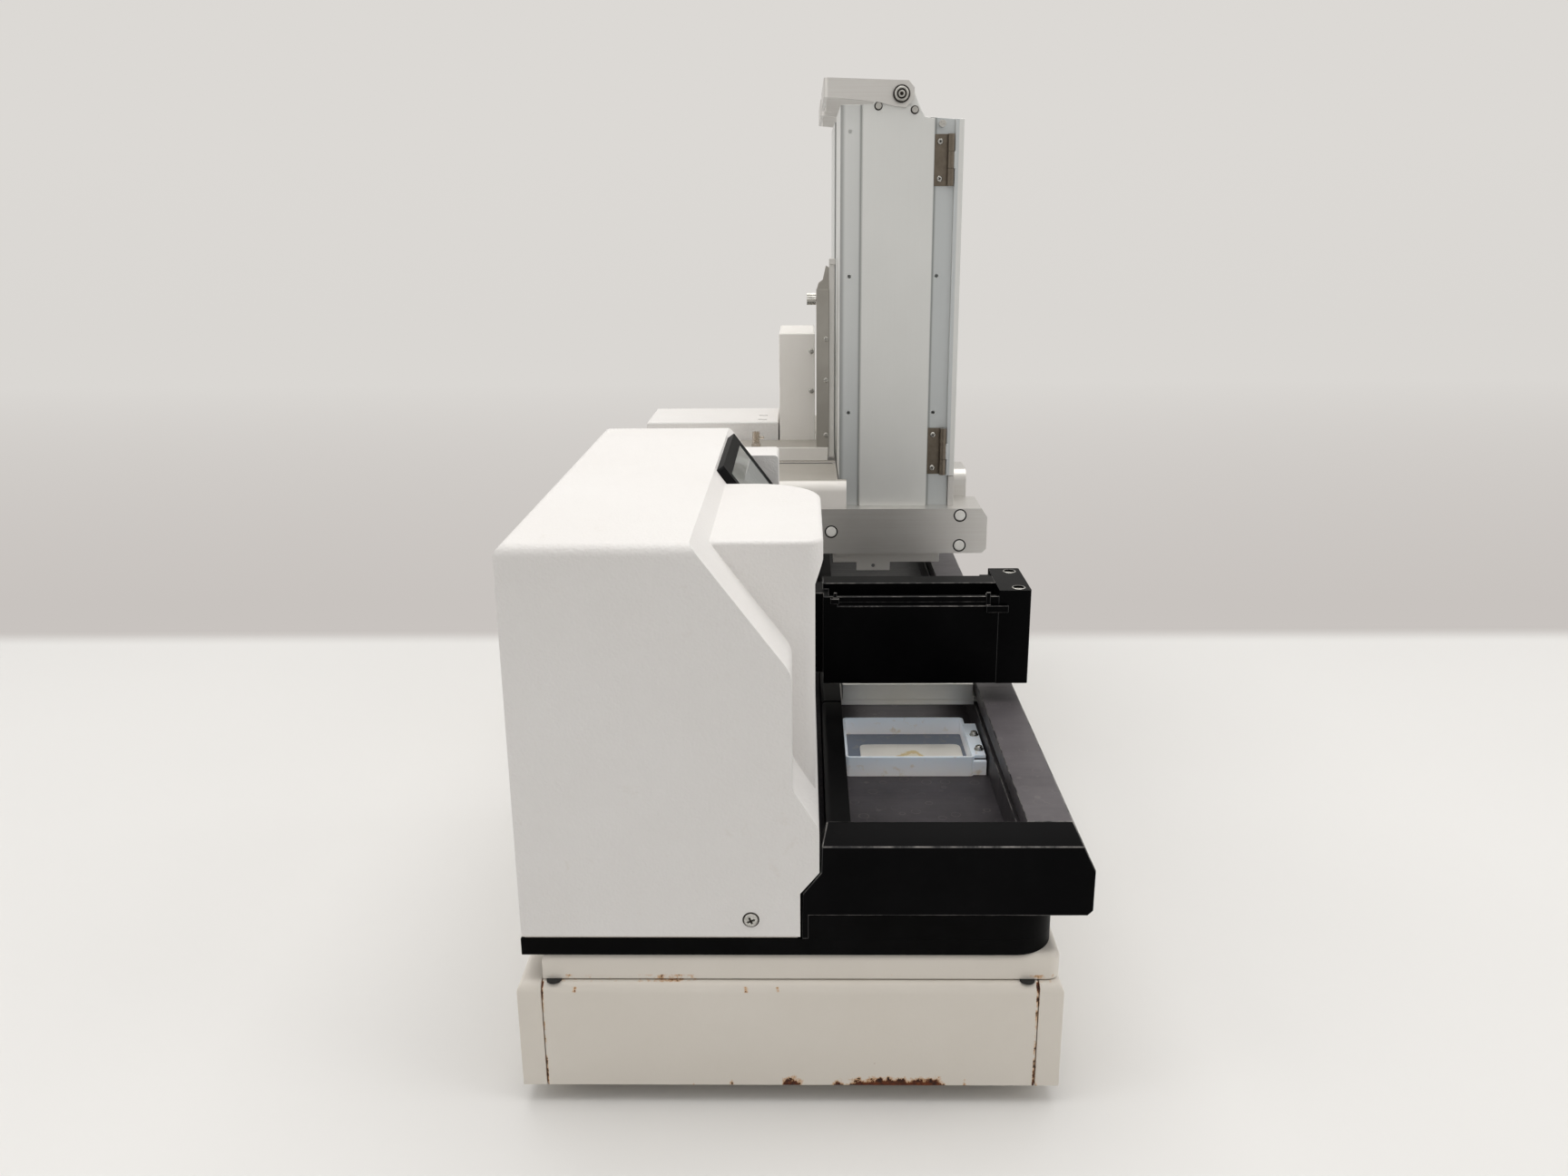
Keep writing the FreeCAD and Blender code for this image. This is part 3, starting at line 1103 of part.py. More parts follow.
def low_box():
    """A closed low box with two short vents in its top."""
    top = CAP_TOP + LOW_HEIGHT
    d1, r1 = LOW_START + LOW_LENGTH, TALL_REAR - 1.5
    body = soften(block(LOW_START, d1, LOW_REAR, r1, CAP_TOP, top), 2.0, at_level(top))
    body = body.cut(hollow(LOW_START, d1, LOW_REAR, r1, CAP_TOP, top, BOX_WALL))
    for step in VENT_PLACES:
        d0 = LOW_START + step
        body = body.cut(block(d0, d0 + VENT_WIDTH, r1 - 12 - VENT_LENGTH, r1 - 12,
                              top - BOX_WALL - 1, top + 1))
    return body


FITTING_R = BEAM_REAR + 24.0
FITTING_HEIGHT = 15.0
FITTING_FLANGE = 4.6
FITTING_RADIUS = 3.8
FITTING_BORE = 2.4
BARB_REACH = 8.0
BARB_RISE = 9.0


def clear_fitting():
    """A clear plastic tube fitting on the beam, with a barb at its side."""
    d, r = BEAM_START + 5.0, FITTING_R
    barb = BEAM_TOP + BARB_RISE
    body = join(pin(vec(d, r, BEAM_TOP), vec(d, r, BEAM_TOP + 3), FITTING_FLANGE, 16),
                pin(vec(d, r, BEAM_TOP + 2), vec(d, r, BEAM_TOP + FITTING_HEIGHT), FITTING_RADIUS, 16),
                pin(vec(d, r, barb), vec(d, r + BARB_REACH, barb), 1.6))
    return body.cut(pin(vec(d, r, BEAM_TOP + 4), vec(d, r, BEAM_TOP + FITTING_HEIGHT + 1), FITTING_BORE))


# Screws of the cases: one through each side of the housing, two in the tall box and three in the mast
TALL_SCREW_DROPS = (18.0, 57.0)
MAST_SCREW_RISES = (12.0, 65.0, 104.0)


def case_screws():
    """The button screws of the housing, the tall box and the mast."""
    screws = []
    for d, way in ((HOUSING_INSET, -1), (CABINET_LENGTH - HOUSING_INSET, 1)):
        head = sorted((d, d + way * HEAD_THICK))
        shank = sorted((d + way * 0.5, d - way * 8))
        screws.append(join(rod_along(head[0], head[1], HOUSING_SCREW_R, HOUSING_SCREW_Z, SCREW_HEAD),
                           pin(vec(shank[0], HOUSING_SCREW_R, HOUSING_SCREW_Z),
                               vec(shank[1], HOUSING_SCREW_R, HOUSING_SCREW_Z), SCREW_SHANK)))
    for drop in TALL_SCREW_DROPS:
        z = CAP_TOP + TALL_HEIGHT - drop
        inner = vec(BEAM_END + 1, TALL_FRONT - 3.6, z)
        screws.append(pin(vec(BEAM_END + 1 - HEAD_THICK, TALL_FRONT - 3.6, z), inner, 2.6))
    for rise in MAST_SCREW_RISES:
        z = BEAM_TOP + rise
        inner = vec(BEAM_START + 1, MAST_FRONT - 2.8, z)
        screws.append(pin(vec(BEAM_START + 1 - HEAD_THICK, MAST_FRONT - 2.8, z), inner, 2.6))
    return group(screws)


# Plate grippers: a folded frame that hangs under each tower and slides on the column
GRIP_HEIGHT = 12.0
GRIP_SHEET = 2.5
GRIP_TAB = 8.0
GRIP_INSET = 0.5
GRIP_TOP = COVER_BASE - 1.0
GRIP_BASE = GRIP_TOP - GRIP_HEIGHT
GRIP_REAR = TOWER_REAR - 2.6
GRIP_HALF = 48.0
GRIP_FRONT = TRACK_MIDDLE + GRIP_HALF


def gripper(start):
    d0, d1 = start + GRIP_INSET, start + TOWER_LENGTH - GRIP_INSET
    outer = block(d0, d1, GRIP_REAR - GRIP_SHEET, GRIP_FRONT, GRIP_BASE, GRIP_TOP)
    inner = block(d0 + GRIP_SHEET, d1 - GRIP_SHEET, GRIP_REAR, GRIP_FRONT + 1, GRIP_BASE - 1, GRIP_TOP + 1)
    tab_r = TRACK_MIDDLE - 13.0
    tab = block(d0, d0 + GRIP_SHEET, tab_r - 15.5, tab_r + 15.5, GRIP_BASE - GRIP_TAB, GRIP_BASE + 1)
    tab = tab.cut(rod_along(d0 - 1, d0 + GRIP_SHEET + 1, tab_r, GRIP_BASE - 3.5, 1.8))
    middle = start + TOWER_LENGTH / 2
    arm = block(middle - GRIP_RAIL_HALF - 4, middle + GRIP_RAIL_HALF + 4, COLUMN_FRONT + 0.8, GRIP_REAR - 1,
                GRIP_BASE, GRIP_TOP)
    arm = arm.cut(grip_rail_section(middle, RUNNING_FIT, GRIP_BASE - 1, GRIP_TOP + 1))
    return join(outer.cut(inner), tab, arm)


# Towers: lift-off magazines of folded aluminium, each with raised end panels and an ear at each end
PANEL_RISE = 4.0
PANEL_REAR = TRACK_MIDDLE - 27.0
PANEL_FRONT = TRACK_MIDDLE + 34.3
TOWER_TOP = DECK_TOP + TOWER_HEIGHT
SHOULDER_DROP = 12.0
EAR_RISE = 18.0
EAR_TOP = TOWER_TOP + EAR_RISE
BAIL_R = TRACK_MIDDLE + 5.2
BAIL_Z = TOWER_TOP + 7.5
PIVOT_RADIUS = 2.5
SIGHT_HOLE = 1.6
SIGHT_REAR = TOWER_REAR + 8.2
SIGHT_FRONT = TOWER_FRONT - 14.6
SIGHT_HOLES = ((SIGHT_REAR, 0.062), (SIGHT_REAR, 0.408), (SIGHT_REAR, 0.754),
               (SIGHT_FRONT, 0.408), (SIGHT_FRONT, 0.754))


def tower_end_wall(d0, d1):
    """An end wall with its ear for the handle."""
    outline = [(TOWER_REAR, DECK_TOP), (TOWER_FRONT, DECK_TOP), (TOWER_FRONT, TOWER_TOP - SHOULDER_DROP),
               (BAIL_R + 21, TOWER_TOP - SHOULDER_DROP + 2), (BAIL_R + 17, TOWER_TOP - 3),
               (BAIL_R + 8, EAR_TOP), (BAIL_R - 13, EAR_TOP), (BAIL_R - 21, TOWER_TOP),
               (TOWER_REAR, TOWER_TOP)]
    return slab_along(outline, d0, d1)


def end_panel(d0, d1):
    """The raised panel down the middle of an end wall."""
    outline = [(PANEL_REAR, DECK_TOP), (PANEL_FRONT, DECK_TOP), (PANEL_FRONT, TOWER_TOP - SHOULDER_DROP),
               (BAIL_R + 20, TOWER_TOP - SHOULDER_DROP + 2), (BAIL_R + 16, TOWER_TOP - 3),
               (BAIL_R + 7, EAR_TOP - 1), (BAIL_R - 12, EAR_TOP - 1), (BAIL_R - 20, TOWER_TOP),
               (PANEL_REAR, TOWER_TOP)]
    return slab_along(outline, d0, d1)


def tower_body(start):
    end = start + TOWER_LENGTH
    rear_wall = block(start, end, TOWER_REAR, TOWER_REAR + TOWER_WALL, DECK_TOP, TOWER_TOP)
    body = join(tower_end_wall(start, start + TOWER_WALL), tower_end_wall(end - TOWER_WALL, end), rear_wall,
                end_panel(start - PANEL_RISE, start), end_panel(end, end + PANEL_RISE))
    for r, share in SIGHT_HOLES:
        z = TOWER_TOP - share * TOWER_HEIGHT
        body = body.cut(pin(vec(start - 1, r, z), vec(start + TOWER_WALL + 1, r, z), SIGHT_HOLE))
    for d in (start, end):
        body = body.cut(rod_along(d - 9, d + 9, BAIL_R, BAIL_Z, PIVOT_RADIUS))
    return body


# Tower doors: a panel over the tower's front on two knuckle hinges, with fins that hold the plates
DOOR_TOP = TOWER_TOP - SHOULDER_DROP
PIN_OFFSET = 5.0
PIN_R = TOWER_FRONT - 5.4
PIN_RADIUS = 1.5
KNUCKLE_RADIUS = 2.9
LEAF_THICK = 1.6
HINGE_LENGTH = 42.0
LOW_HINGE = DOOR_BASE + 1.0
HIGH_HINGE_DROP = 54.0
HIGH_HINGE = DOOR_TOP - HIGH_HINGE_DROP
FIN_INSET = 20.0
FIN_THICK = 2.5
HINGE_GAP = 0.2


def door_front():
    return TOWER_FRONT + DOOR_GAP + DOOR_THICK


def knuckle_levels(z0):
    """The levels between the lower fixed, the moving and the upper fixed knuckle of one hinge."""
    third = HINGE_LENGTH / 3
    moving = (z0 + third + HINGE_GAP, z0 + 2 * third - HINGE_GAP)
    return (z0, z0 + third), moving, (z0 + 2 * third, z0 + HINGE_LENGTH)


def tower_door(start):
    end = start + TOWER_LENGTH
    d = start - PIN_OFFSET
    panel = block(start - 0.6, end, TOWER_FRONT + DOOR_GAP, door_front(), DOOR_BASE, DOOR_TOP)
    lip = block(start - 4.5, start - 0.5, TOWER_FRONT - 2, door_front(), DOOR_BASE, DOOR_TOP)
    pieces = [lip]
    fin_rear = TRACK_MIDDLE + PLATE_WIDTH / 2 + PLATE_GAP
    for d0 in (start + FIN_INSET, end - FIN_INSET - FIN_THICK):
        pieces.append(block(d0, d0 + FIN_THICK, fin_rear, TOWER_FRONT + DOOR_GAP + 1, DOOR_BASE + 2,
                            DOOR_TOP - 8))
    for z0 in (LOW_HINGE, HIGH_HINGE):
        low, high = knuckle_levels(z0)[1]
        pieces.append(rod_up(low, high, d, PIN_R, KNUCKLE_RADIUS))
        pieces.append(block(d - 1.0, d + 1.0, PIN_R, TOWER_FRONT - 1, low, high))
    door = join(panel, *pieces)
    for z0 in (LOW_HINGE, HIGH_HINGE):
        door = door.cut(rod_up(z0 - 1, z0 + HINGE_LENGTH + 1, d, PIN_R, PIN_RADIUS + RUNNING_FIT))
    return door


def tower_hinge(start, z0):
    """One fixed leaf with its two knuckles, its pin and two screw heads."""
    d = start - PIN_OFFSET
    leaf = block(start - LEAF_THICK, start, PANEL_FRONT + 0.4, PIN_R, z0, z0 + HINGE_LENGTH)
    pieces = [rod_up(z0, z0 + HINGE_LENGTH, d, PIN_R, PIN_RADIUS)]
    levels = knuckle_levels(z0)
    for low, high in (levels[0], levels[2]):
        pieces.append(rod_up(low, high, d, PIN_R, KNUCKLE_RADIUS))
        pieces.append(block(d + 1.2, start - LEAF_THICK + 0.4, PIN_R - 2.6, PIN_R, low, high))
    for z in (z0 + 6, z0 + HINGE_LENGTH - 6):
        inner = vec(start - LEAF_THICK + 0.4, PANEL_FRONT + 5, z)
        pieces.append(pin(vec(start - LEAF_THICK - 1.2, PANEL_FRONT + 5, z), inner, 2.3))
    return join(leaf, *pieces)


def tower_fittings(start):
    """A tower's hinges, the peg beside the door's top, and the pivot screws and stop pins of its handle."""
    end = start + TOWER_LENGTH
    pieces = [tower_hinge(start, LOW_HINGE), tower_hinge(start, HIGH_HINGE)]
    peg_r, peg_z = PIN_R - 8.2, DOOR_TOP - 4.0
    pieces.append(join(pin(vec(start - 8, peg_r, peg_z), vec(start, peg_r, peg_z), 2.4),
                       pin(vec(start - 10, peg_r, peg_z), vec(start - 7, peg_r, peg_z), 3.0, 16)))
    reach = BAIL_GAP + BAIL_SHEET
    for face, way in ((start - PANEL_RISE, -1), (end + PANEL_RISE, 1)):
        shank = sorted((face - way * (PANEL_RISE + TOWER_WALL), face + way * (reach + BAIL_GAP + 1)))
        head = sorted((face + way * (reach + BAIL_GAP), face + way * (reach + BAIL_GAP + 2.6)))
        pieces.append(join(rod_along(shank[0], shank[1], BAIL_R, BAIL_Z, PIVOT_RADIUS),
                           rod_along(head[0], head[1], BAIL_R, BAIL_Z, 7.0)))
        stop = sorted((face, face + way * reach))
        for step, drop in STOP_PINS:
            r, z = BAIL_R + step, BAIL_Z - drop
            pieces.append(pin(vec(stop[0], r, z), vec(stop[1], r, z), STOP_PIN_RADIUS, 16))
    return group(pieces)


# Bail handles: one strip bent into two arms and a bar, on the towers' ears
BAIL_SHEET = 3.0
BAIL_GAP = 0.6
BAIL_REACH = 64.7
BAIL_ROUND = 5.0
STOP_PINS = ((-18.9, 9.1), (11.7, 12.3))
STOP_PIN_RADIUS = 2.6


def tower_bail(start):
    end = start + TOWER_LENGTH
    d0 = start - PANEL_RISE - BAIL_GAP - BAIL_SHEET
    d1 = end + PANEL_RISE + BAIL_GAP + BAIL_SHEET
    rear = BAIL_R - BAIL_REACH
    outline = [(rear, BAIL_Z - 1.5), (rear, BAIL_Z + 13.5), (BAIL_R + 6, BAIL_Z + 10.6),
               (BAIL_R + 11, BAIL_Z + 5), (BAIL_R + 11, BAIL_Z - 4), (BAIL_R + 4, BAIL_Z - 10.6),
               (BAIL_R - 5, BAIL_Z - 9.6), (BAIL_R - 20, BAIL_Z - 6)]
    body = slab_along(outline, d0, d1)
    corners = [edge for edge in body.Edges if edge.BoundBox.YMin > y_of(rear + 0.1)
               and edge.BoundBox.XLength < 0.1]
    body = body.makeFillet(BAIL_ROUND, corners)
    opening = block(d0 + BAIL_SHEET, d1 - BAIL_SHEET, rear + BAIL_SHEET, BAIL_R + 40, BAIL_Z - 30,
                    BAIL_Z + 30)
    inner_rear = y_of(rear + BAIL_SHEET)
    opening = soften(opening, BAIL_ROUND - BAIL_SHEET,
                     lambda a, b: is_upright(a, b) and near(a.y, inner_rear))
    body = body.cut(opening)
    return body.cut(rod_along(d0 - 1, d1 + 1, BAIL_R, BAIL_Z, PIVOT_RADIUS + RUNNING_FIT))


def save(name, shape):
    shape.exportStep("parts/" + name + ".step")
    print(name, len(shape.Solids), shape.isValid(), round(shape.Volume))


os.makedirs("parts", exist_ok=True)
save("cabinet_body", cabinet_slice(COVER_WIDTH + SEAM, FRONT_SEAM - SEAM))
save("rear_cover", cabinet_slice(-1, COVER_WIDTH))
save("front_cover", cabinet_slice(FRONT_SEAM, CABINET_DEPTH + 1))
save("feet", feet())
save("top_tray", top_tray())
save("tray_pads", tray_pads())
save("base_plate", base_plate())
save("pedestal", pedestal())
save("housing_shell", housing_shell())
save("inlet_module", inlet_module())
save("power_switch", power_switch())
save("head_cover", head_cover())
save("side_pod", side_pod())
save("screen_bezel", screen_bezel())
save("screen_glass", screen_glass())
save("track_bed", track_bed())
save("rear_rail", rear_rail())
save("front_rail", front_rail())
save("near_end_cap", end_cap(TRACK_START, CHANNEL_START, TRACK_START, PLINTH_TOP))
save("far_end_cap", end_cap(CHANNEL_END, TRACK_END, TRACK_END, TRACK_BASE))
save("drive_belt", drive_belt())
save("drive_pulley", pulley(MOTOR_D, TRACK_FRONT - 8))
save("idler_pulley", pulley(IDLER_D, TRACK_FRONT + 0.5))
save("drive_motor", drive_motor())
save("carriage_sled", carriage_sled())
save("plate_nest", plate_nest())
save("waste_trough", waste_trough())
save("trough_pad", trough_pad())
save("trough_screws", trough_screws())
save("lift_guide", lift_guide())
save("arm_beam", arm_beam())
save("arm_end_block", arm_end_block())
save("arm_screws", arm_screws())
save("tip_bar", tip_bar())
save("arm_clips", arm_clips())
save("stacker_base", stacker_base())
save("stacker_column", stacker_column())
save("deck_cover", deck_cover())
save("cover_plugs", cover_plugs())
save("deck_plate", deck_plate())
save("column_caps", column_caps())
save("tower_stops", tower_stops())
save("cross_beam", cross_beam())
save("mast", mast())
save("mast_knob", mast_knob())
save("guide_strip", guide_strip())
save("tall_box", tall_box())
save("low_box", low_box())
save("clear_fitting", clear_fitting())
save("case_screws", case_screws())
for letter, tower_start in zip("ab", TOWER_STARTS):
    save("gripper_" + letter, gripper(tower_start))
    save("tower_" + letter, tower_body(tower_start))
    save("tower_door_" + letter, tower_door(tower_start))
    save("tower_fittings_" + letter, tower_fittings(tower_start))
    save("tower_bail_" + letter, tower_bail(tower_start))
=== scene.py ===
import json
import math

import bmesh
import bpy
import numpy as np
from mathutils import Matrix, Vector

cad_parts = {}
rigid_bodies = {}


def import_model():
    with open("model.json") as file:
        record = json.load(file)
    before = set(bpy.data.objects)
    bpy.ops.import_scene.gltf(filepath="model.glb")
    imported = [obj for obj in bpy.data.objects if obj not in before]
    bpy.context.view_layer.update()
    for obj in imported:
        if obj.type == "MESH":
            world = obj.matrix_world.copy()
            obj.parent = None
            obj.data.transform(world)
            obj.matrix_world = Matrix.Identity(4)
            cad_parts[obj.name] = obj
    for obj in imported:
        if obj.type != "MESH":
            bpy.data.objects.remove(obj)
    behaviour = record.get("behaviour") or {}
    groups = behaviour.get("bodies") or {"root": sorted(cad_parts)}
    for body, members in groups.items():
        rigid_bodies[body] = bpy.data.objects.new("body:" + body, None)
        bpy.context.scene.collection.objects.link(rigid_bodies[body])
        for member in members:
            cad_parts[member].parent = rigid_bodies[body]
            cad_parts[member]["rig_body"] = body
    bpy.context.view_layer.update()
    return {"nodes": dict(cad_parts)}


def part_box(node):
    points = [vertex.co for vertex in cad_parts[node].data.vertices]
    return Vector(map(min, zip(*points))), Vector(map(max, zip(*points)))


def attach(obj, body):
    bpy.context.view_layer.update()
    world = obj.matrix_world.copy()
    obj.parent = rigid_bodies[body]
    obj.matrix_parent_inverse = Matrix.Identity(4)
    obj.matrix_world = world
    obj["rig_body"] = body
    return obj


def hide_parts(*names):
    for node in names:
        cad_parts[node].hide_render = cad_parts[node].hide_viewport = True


# Bench reagent dispenser with a plate stacker. X runs along the plate track from the dispenser towards the
# stacker, Y from the front to the rear and Z up. The photograph looks along +X.
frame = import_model()


# Base cabinet
# A box of folded 2 mm steel sheet with a cover wrapped over its front and its rear end, spot-welded and
# sprayed with a cream powder coat. Years on a wet bench have chipped the coat at the edges, and the steel
# rusts there.

def linear(code):
    """Turns an sRGB hex colour into linear red, green, blue and alpha."""
    parts = [int(code[i:i + 2], 16) / 255 for i in (0, 2, 4)]
    return tuple(p / 12.92 if p <= 0.04045 else ((p + 0.055) / 1.055) ** 2.4 for p in parts) + (1.0,)


def add(tree, kind, inputs=None, **settings):
    """Adds one node with its settings. An input is a value, or the output of another node that feeds it."""
    node = tree.nodes.new("ShaderNode" + kind)
    for name, value in settings.items():
        setattr(node, name, value)
    for key, value in (inputs or {}).items():
        if isinstance(value, bpy.types.NodeSocket):
            tree.links.new(value, node.inputs[key])
        else:
            node.inputs[key].default_value = value
    return node


def begin(name, **values):
    """Starts a material: its node tree, its shader with the values that hold all over, and its
    coordinates."""
    material = bpy.data.materials.new(name)
    material.use_nodes = True
    tree = material.node_tree
    tree.nodes.clear()
    shader = add(tree, "BsdfPrincipled", {key.replace("_", " "): value for key, value in values.items()})
    add(tree, "OutputMaterial", {"Surface": shader.outputs[0]})
    place = add(tree, "TexCoord").outputs["Object"]
    return material, tree, shader, place


def dress(tree, shader, colour, rough=None, relief=None):
    """Ends a material. It feeds the shader a colour, a roughness that follows a value from one number to
    another, and the bumps of a height with their strength and their depth in metres."""
    tree.links.new(colour, shader.inputs["Base Color"])
    if rough:
        value, low, high = rough
        spread = add(tree, "MapRange", {"Value": value, "To Min": low, "To Max": high}).outputs[0]
        tree.links.new(spread, shader.inputs["Roughness"])
    if relief:
        height, strength, depth = relief
        bump = add(tree, "Bump", {"Height": height, "Strength": strength, "Distance": depth}).outputs[0]
        tree.links.new(bump, shader.inputs["Normal"])


def band(tree, value, low, high, fade):
    """1 where the value lies between low and high, falling smoothly to 0 over the fade on each side."""
    rise = add(tree, "MapRange", {"Value": value, "From Min": low - fade, "From Max": low},
               interpolation_type="SMOOTHSTEP")
    fall = add(tree, "MapRange", {"Value": value, "From Min": high, "From Max": high + fade, "To Min": 1.0,
                                  "To Max": 0.0}, interpolation_type="SMOOTHSTEP")
    return add(tree, "Math", {0: rise.outputs[0], 1: fall.outputs[0]}, operation="MULTIPLY").outputs[0]


def fitted(node, material, edge=0.0006, steps=2, sharp=32.0, worn_highlit_edge=None, other=None):
    """Stands for a CAD node: its own mesh with the loose triangles merged, flat faces whole, and edges
    rounded. The rounded edges take the edge material if there is one, worn and with a painted highlight, and
    faces whose middle passes a test take another."""
    source = frame["nodes"][node]
    shape = bmesh.new()
    shape.from_mesh(source.data)
    bmesh.ops.remove_doubles(shape, verts=shape.verts, dist=2e-6)
    bmesh.ops.dissolve_limit(shape, angle_limit=math.radians(0.6), verts=shape.verts, edges=shape.edges)
    bmesh.ops.triangulate(shape, faces=[f for f in shape.faces if len(f.verts) > 4])
    for face in shape.faces:
        face.smooth = True
    for line in shape.edges:
        line.smooth = len(line.link_faces) == 2 and line.calc_face_angle(0.0) < math.radians(sharp)
    mesh = bpy.data.meshes.new(node + "_finished")
    shape.to_mesh(mesh)
    shape.free()
    for finish in [material] + [f for f in (worn_highlit_edge, other and other[0]) if f]:
        mesh.materials.append(finish)
    if other:
        chosen = [len(mesh.materials) - 1 if other[1](face.center) else 0 for face in mesh.polygons]
        mesh.polygons.foreach_set("material_index", chosen)
    piece = bpy.data.objects.new(node + "_finished", mesh)
    bpy.context.scene.collection.objects.link(piece)
    if edge:
        bevel = piece.modifiers.new("rounded_edges", "BEVEL")
        bevel.width = edge
        bevel.segments = steps
        bevel.limit_method = "ANGLE"
        bevel.angle_limit = math.radians(sharp)
        bevel.harden_normals = True
        bevel.material = 1 if worn_highlit_edge else -1
    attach(piece, source["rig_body"])
    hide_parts(node)
    return piece


# The frame's origin, in millimetres along the track and forward from the cabinet's rear face.
origin_along, origin_forward = 439.98, 168.52


def here(along, forward, up):
    """A point of the frame from millimetres along the track from the cabinet's near face, forward from its
    rear face, and up from the bench."""
    return (along - origin_along) / 1000, (origin_forward - forward) / 1000, up / 1000


def shares(tree, value, low, high, stops):
    """A share that varies along a value: the stops, each a place between low and high and a share, are joined
    by straight lines."""
    place = add(tree, "MapRange", {"Value": value, "From Min": low, "From Max": high}).outputs[0]
    ramp = add(tree, "ValToRGB", {0: place})
    for spot, share in stops:
        stop = ramp.color_ramp.elements.new((spot - low) / (high - low))
        stop.color = (share, share, share, 1.0)
    ramp.color_ramp.elements[0].color = (0.0, 0.0, 0.0, 1.0)
    ramp.color_ramp.elements[-1].color = (0.0, 0.0, 0.0, 1.0)
    return add(tree, "SeparateColor", {0: ramp.outputs[0]}).outputs[0]


# Powder-coated steel: a satin cream skin with a fine orange peel. The peel is really about 0.8 mm across and
# is drawn at 2 mm so that it shows. Along the lower edge the coat has burst over dark brown rust with an
# orange rim, worst in front of the middle, and small chips follow the seams and the top bend.
cream_coat, tree, shader, place = begin("powder_coated_cream_steel", IOR=1.5)
xyz = add(tree, "SeparateXYZ", {0: place}).outputs
soil = add(tree, "TexNoise", {"Vector": place, "Scale": 1 / 0.07, "Detail": 5.0, "Roughness": 0.6}).outputs[0]
clean = add(tree, "Mix", {0: soil, 6: linear("e3ddd4"), 7: linear("d9d2c7")}, data_type="RGBA").outputs[2]
ragged = add(tree, "TexNoise", {"Vector": place, "Scale": 1 / 0.0045, "Detail": 8.0,
                                "Roughness": 0.68}).outputs[0]
face_span = (-0.16, 0.17)
along_edge = shares(tree, xyz[1], *face_span, [
    (-0.1420, 0.0), (-0.1400, 0.85), (-0.1370, 0.0), (-0.1000, 0.0), (-0.0970, 0.72), (-0.0940, 0.0),
    (-0.0870, 0.25), (-0.0810, 0.95), (-0.0560, 0.90), (-0.0460, 0.97), (-0.0320, 0.85), (-0.0270, 0.35),
    (-0.0210, 0.80), (-0.0160, 0.30), (-0.0010, 0.25), (0.0040, 0.92), (0.0110, 0.88), (0.0150, 0.0),
    (0.0400, 0.0), (0.0425, 0.66), (0.0450, 0.0), (0.0635, 0.0), (0.0657, 0.70), (0.0680, 0.0)])
from_edge = add(tree, "MapRange", {"Value": xyz[2], "From Min": 0.0122, "From Max": 0.0225, "To Min": 1.0,
                                   "To Max": 0.0}).outputs[0]
near_side = band(tree, xyz[0], -0.5, -0.4385, 0.0006)
low_rust = add(tree, "Math", {0: from_edge, 1: along_edge}, operation="MULTIPLY").outputs[0]
low_rust = add(tree, "Math", {0: low_rust, 1: near_side}, operation="MULTIPLY").outputs[0]
rear_seam = band(tree, xyz[1], 0.1530, 0.1538, 0.0009)
front_seam = band(tree, xyz[1], -0.1388, -0.1376, 0.0010)
seams = add(tree, "Math", {0: rear_seam, 1: front_seam}, operation="MAXIMUM").outputs[0]
seam_ends = shares(tree, xyz[2], 0.0, 0.1, [(0.013, 0.72), (0.024, 0.55), (0.040, 0.40), (0.060, 0.44),
                                            (0.076, 0.62), (0.0810, 0.80), (0.0816, 0.0)])
seams = add(tree, "Math", {0: seams, 1: seam_ends}, operation="MULTIPLY").outputs[0]
bend = band(tree, xyz[2], 0.0768, 0.0786, 0.0016)
rim = band(tree, xyz[2], 0.0812, 0.0850, 0.0006)
bend_spots = shares(tree, xyz[1], *face_span, [
    (0.0120, 0.0), (0.0145, 0.70), (0.0170, 0.0), (0.0305, 0.0), (0.0330, 0.72), (0.0355, 0.0), (0.1315, 0.0),
    (0.1340, 0.75), (0.1365, 0.0)])
rim_rust = shares(tree, xyz[1], *face_span, [(-0.137, 0.50), (-0.128, 0.15), (0.055, 0.15), (0.072, 0.52),
                                              (0.088, 0.48), (0.104, 0.20), (0.140, 0.40)])
bend_chips = add(tree, "Math", {0: bend, 1: bend_spots}, operation="MULTIPLY").outputs[0]
rim_rust = add(tree, "Math", {0: rim, 1: rim_rust}, operation="MULTIPLY").outputs[0]
wear = add(tree, "Math", {0: low_rust, 1: seams}, operation="MAXIMUM").outputs[0]
wear = add(tree, "Math", {0: wear, 1: bend_chips}, operation="MAXIMUM").outputs[0]
wear = add(tree, "Math", {0: wear, 1: rim_rust}, operation="MAXIMUM").outputs[0]
wear = add(tree, "Math", {0: wear, 1: 0.70}, operation="MULTIPLY").outputs[0]
near_part = band(tree, xyz[0], -0.5, -0.4335, 0.0010)
wear = add(tree, "Math", {0: wear, 1: near_part}, operation="MULTIPLY").outputs[0]
torn = add(tree, "Math", {0: ragged, 1: wear}, operation="ADD").outputs[0]
chip = add(tree, "MapRange", {"Value": torn, "From Min": 0.90, "From Max": 0.93}).outputs[0]
stain = add(tree, "MapRange", {"Value": torn, "From Min": 0.76, "From Max": 0.90, "To Max": 0.85}).outputs[0]
specks = add(tree, "TexVoronoi", {"Vector": place, "Scale": 1 / 0.024, "Randomness": 1.0}).outputs[0]
speck = add(tree, "MapRange", {"Value": specks, "From Min": 0.045, "From Max": 0.030}).outputs[0]
sparse = add(tree, "TexNoise", {"Vector": place, "Scale": 1 / 0.034, "Detail": 2.0}).outputs[0]
rare = add(tree, "MapRange", {"Value": sparse, "From Min": 0.54, "From Max": 0.60}).outputs[0]
speck = add(tree, "Math", {0: speck, 1: rare}, operation="MULTIPLY").outputs[0]
chip = add(tree, "Math", {0: chip, 1: speck}, operation="MAXIMUM").outputs[0]
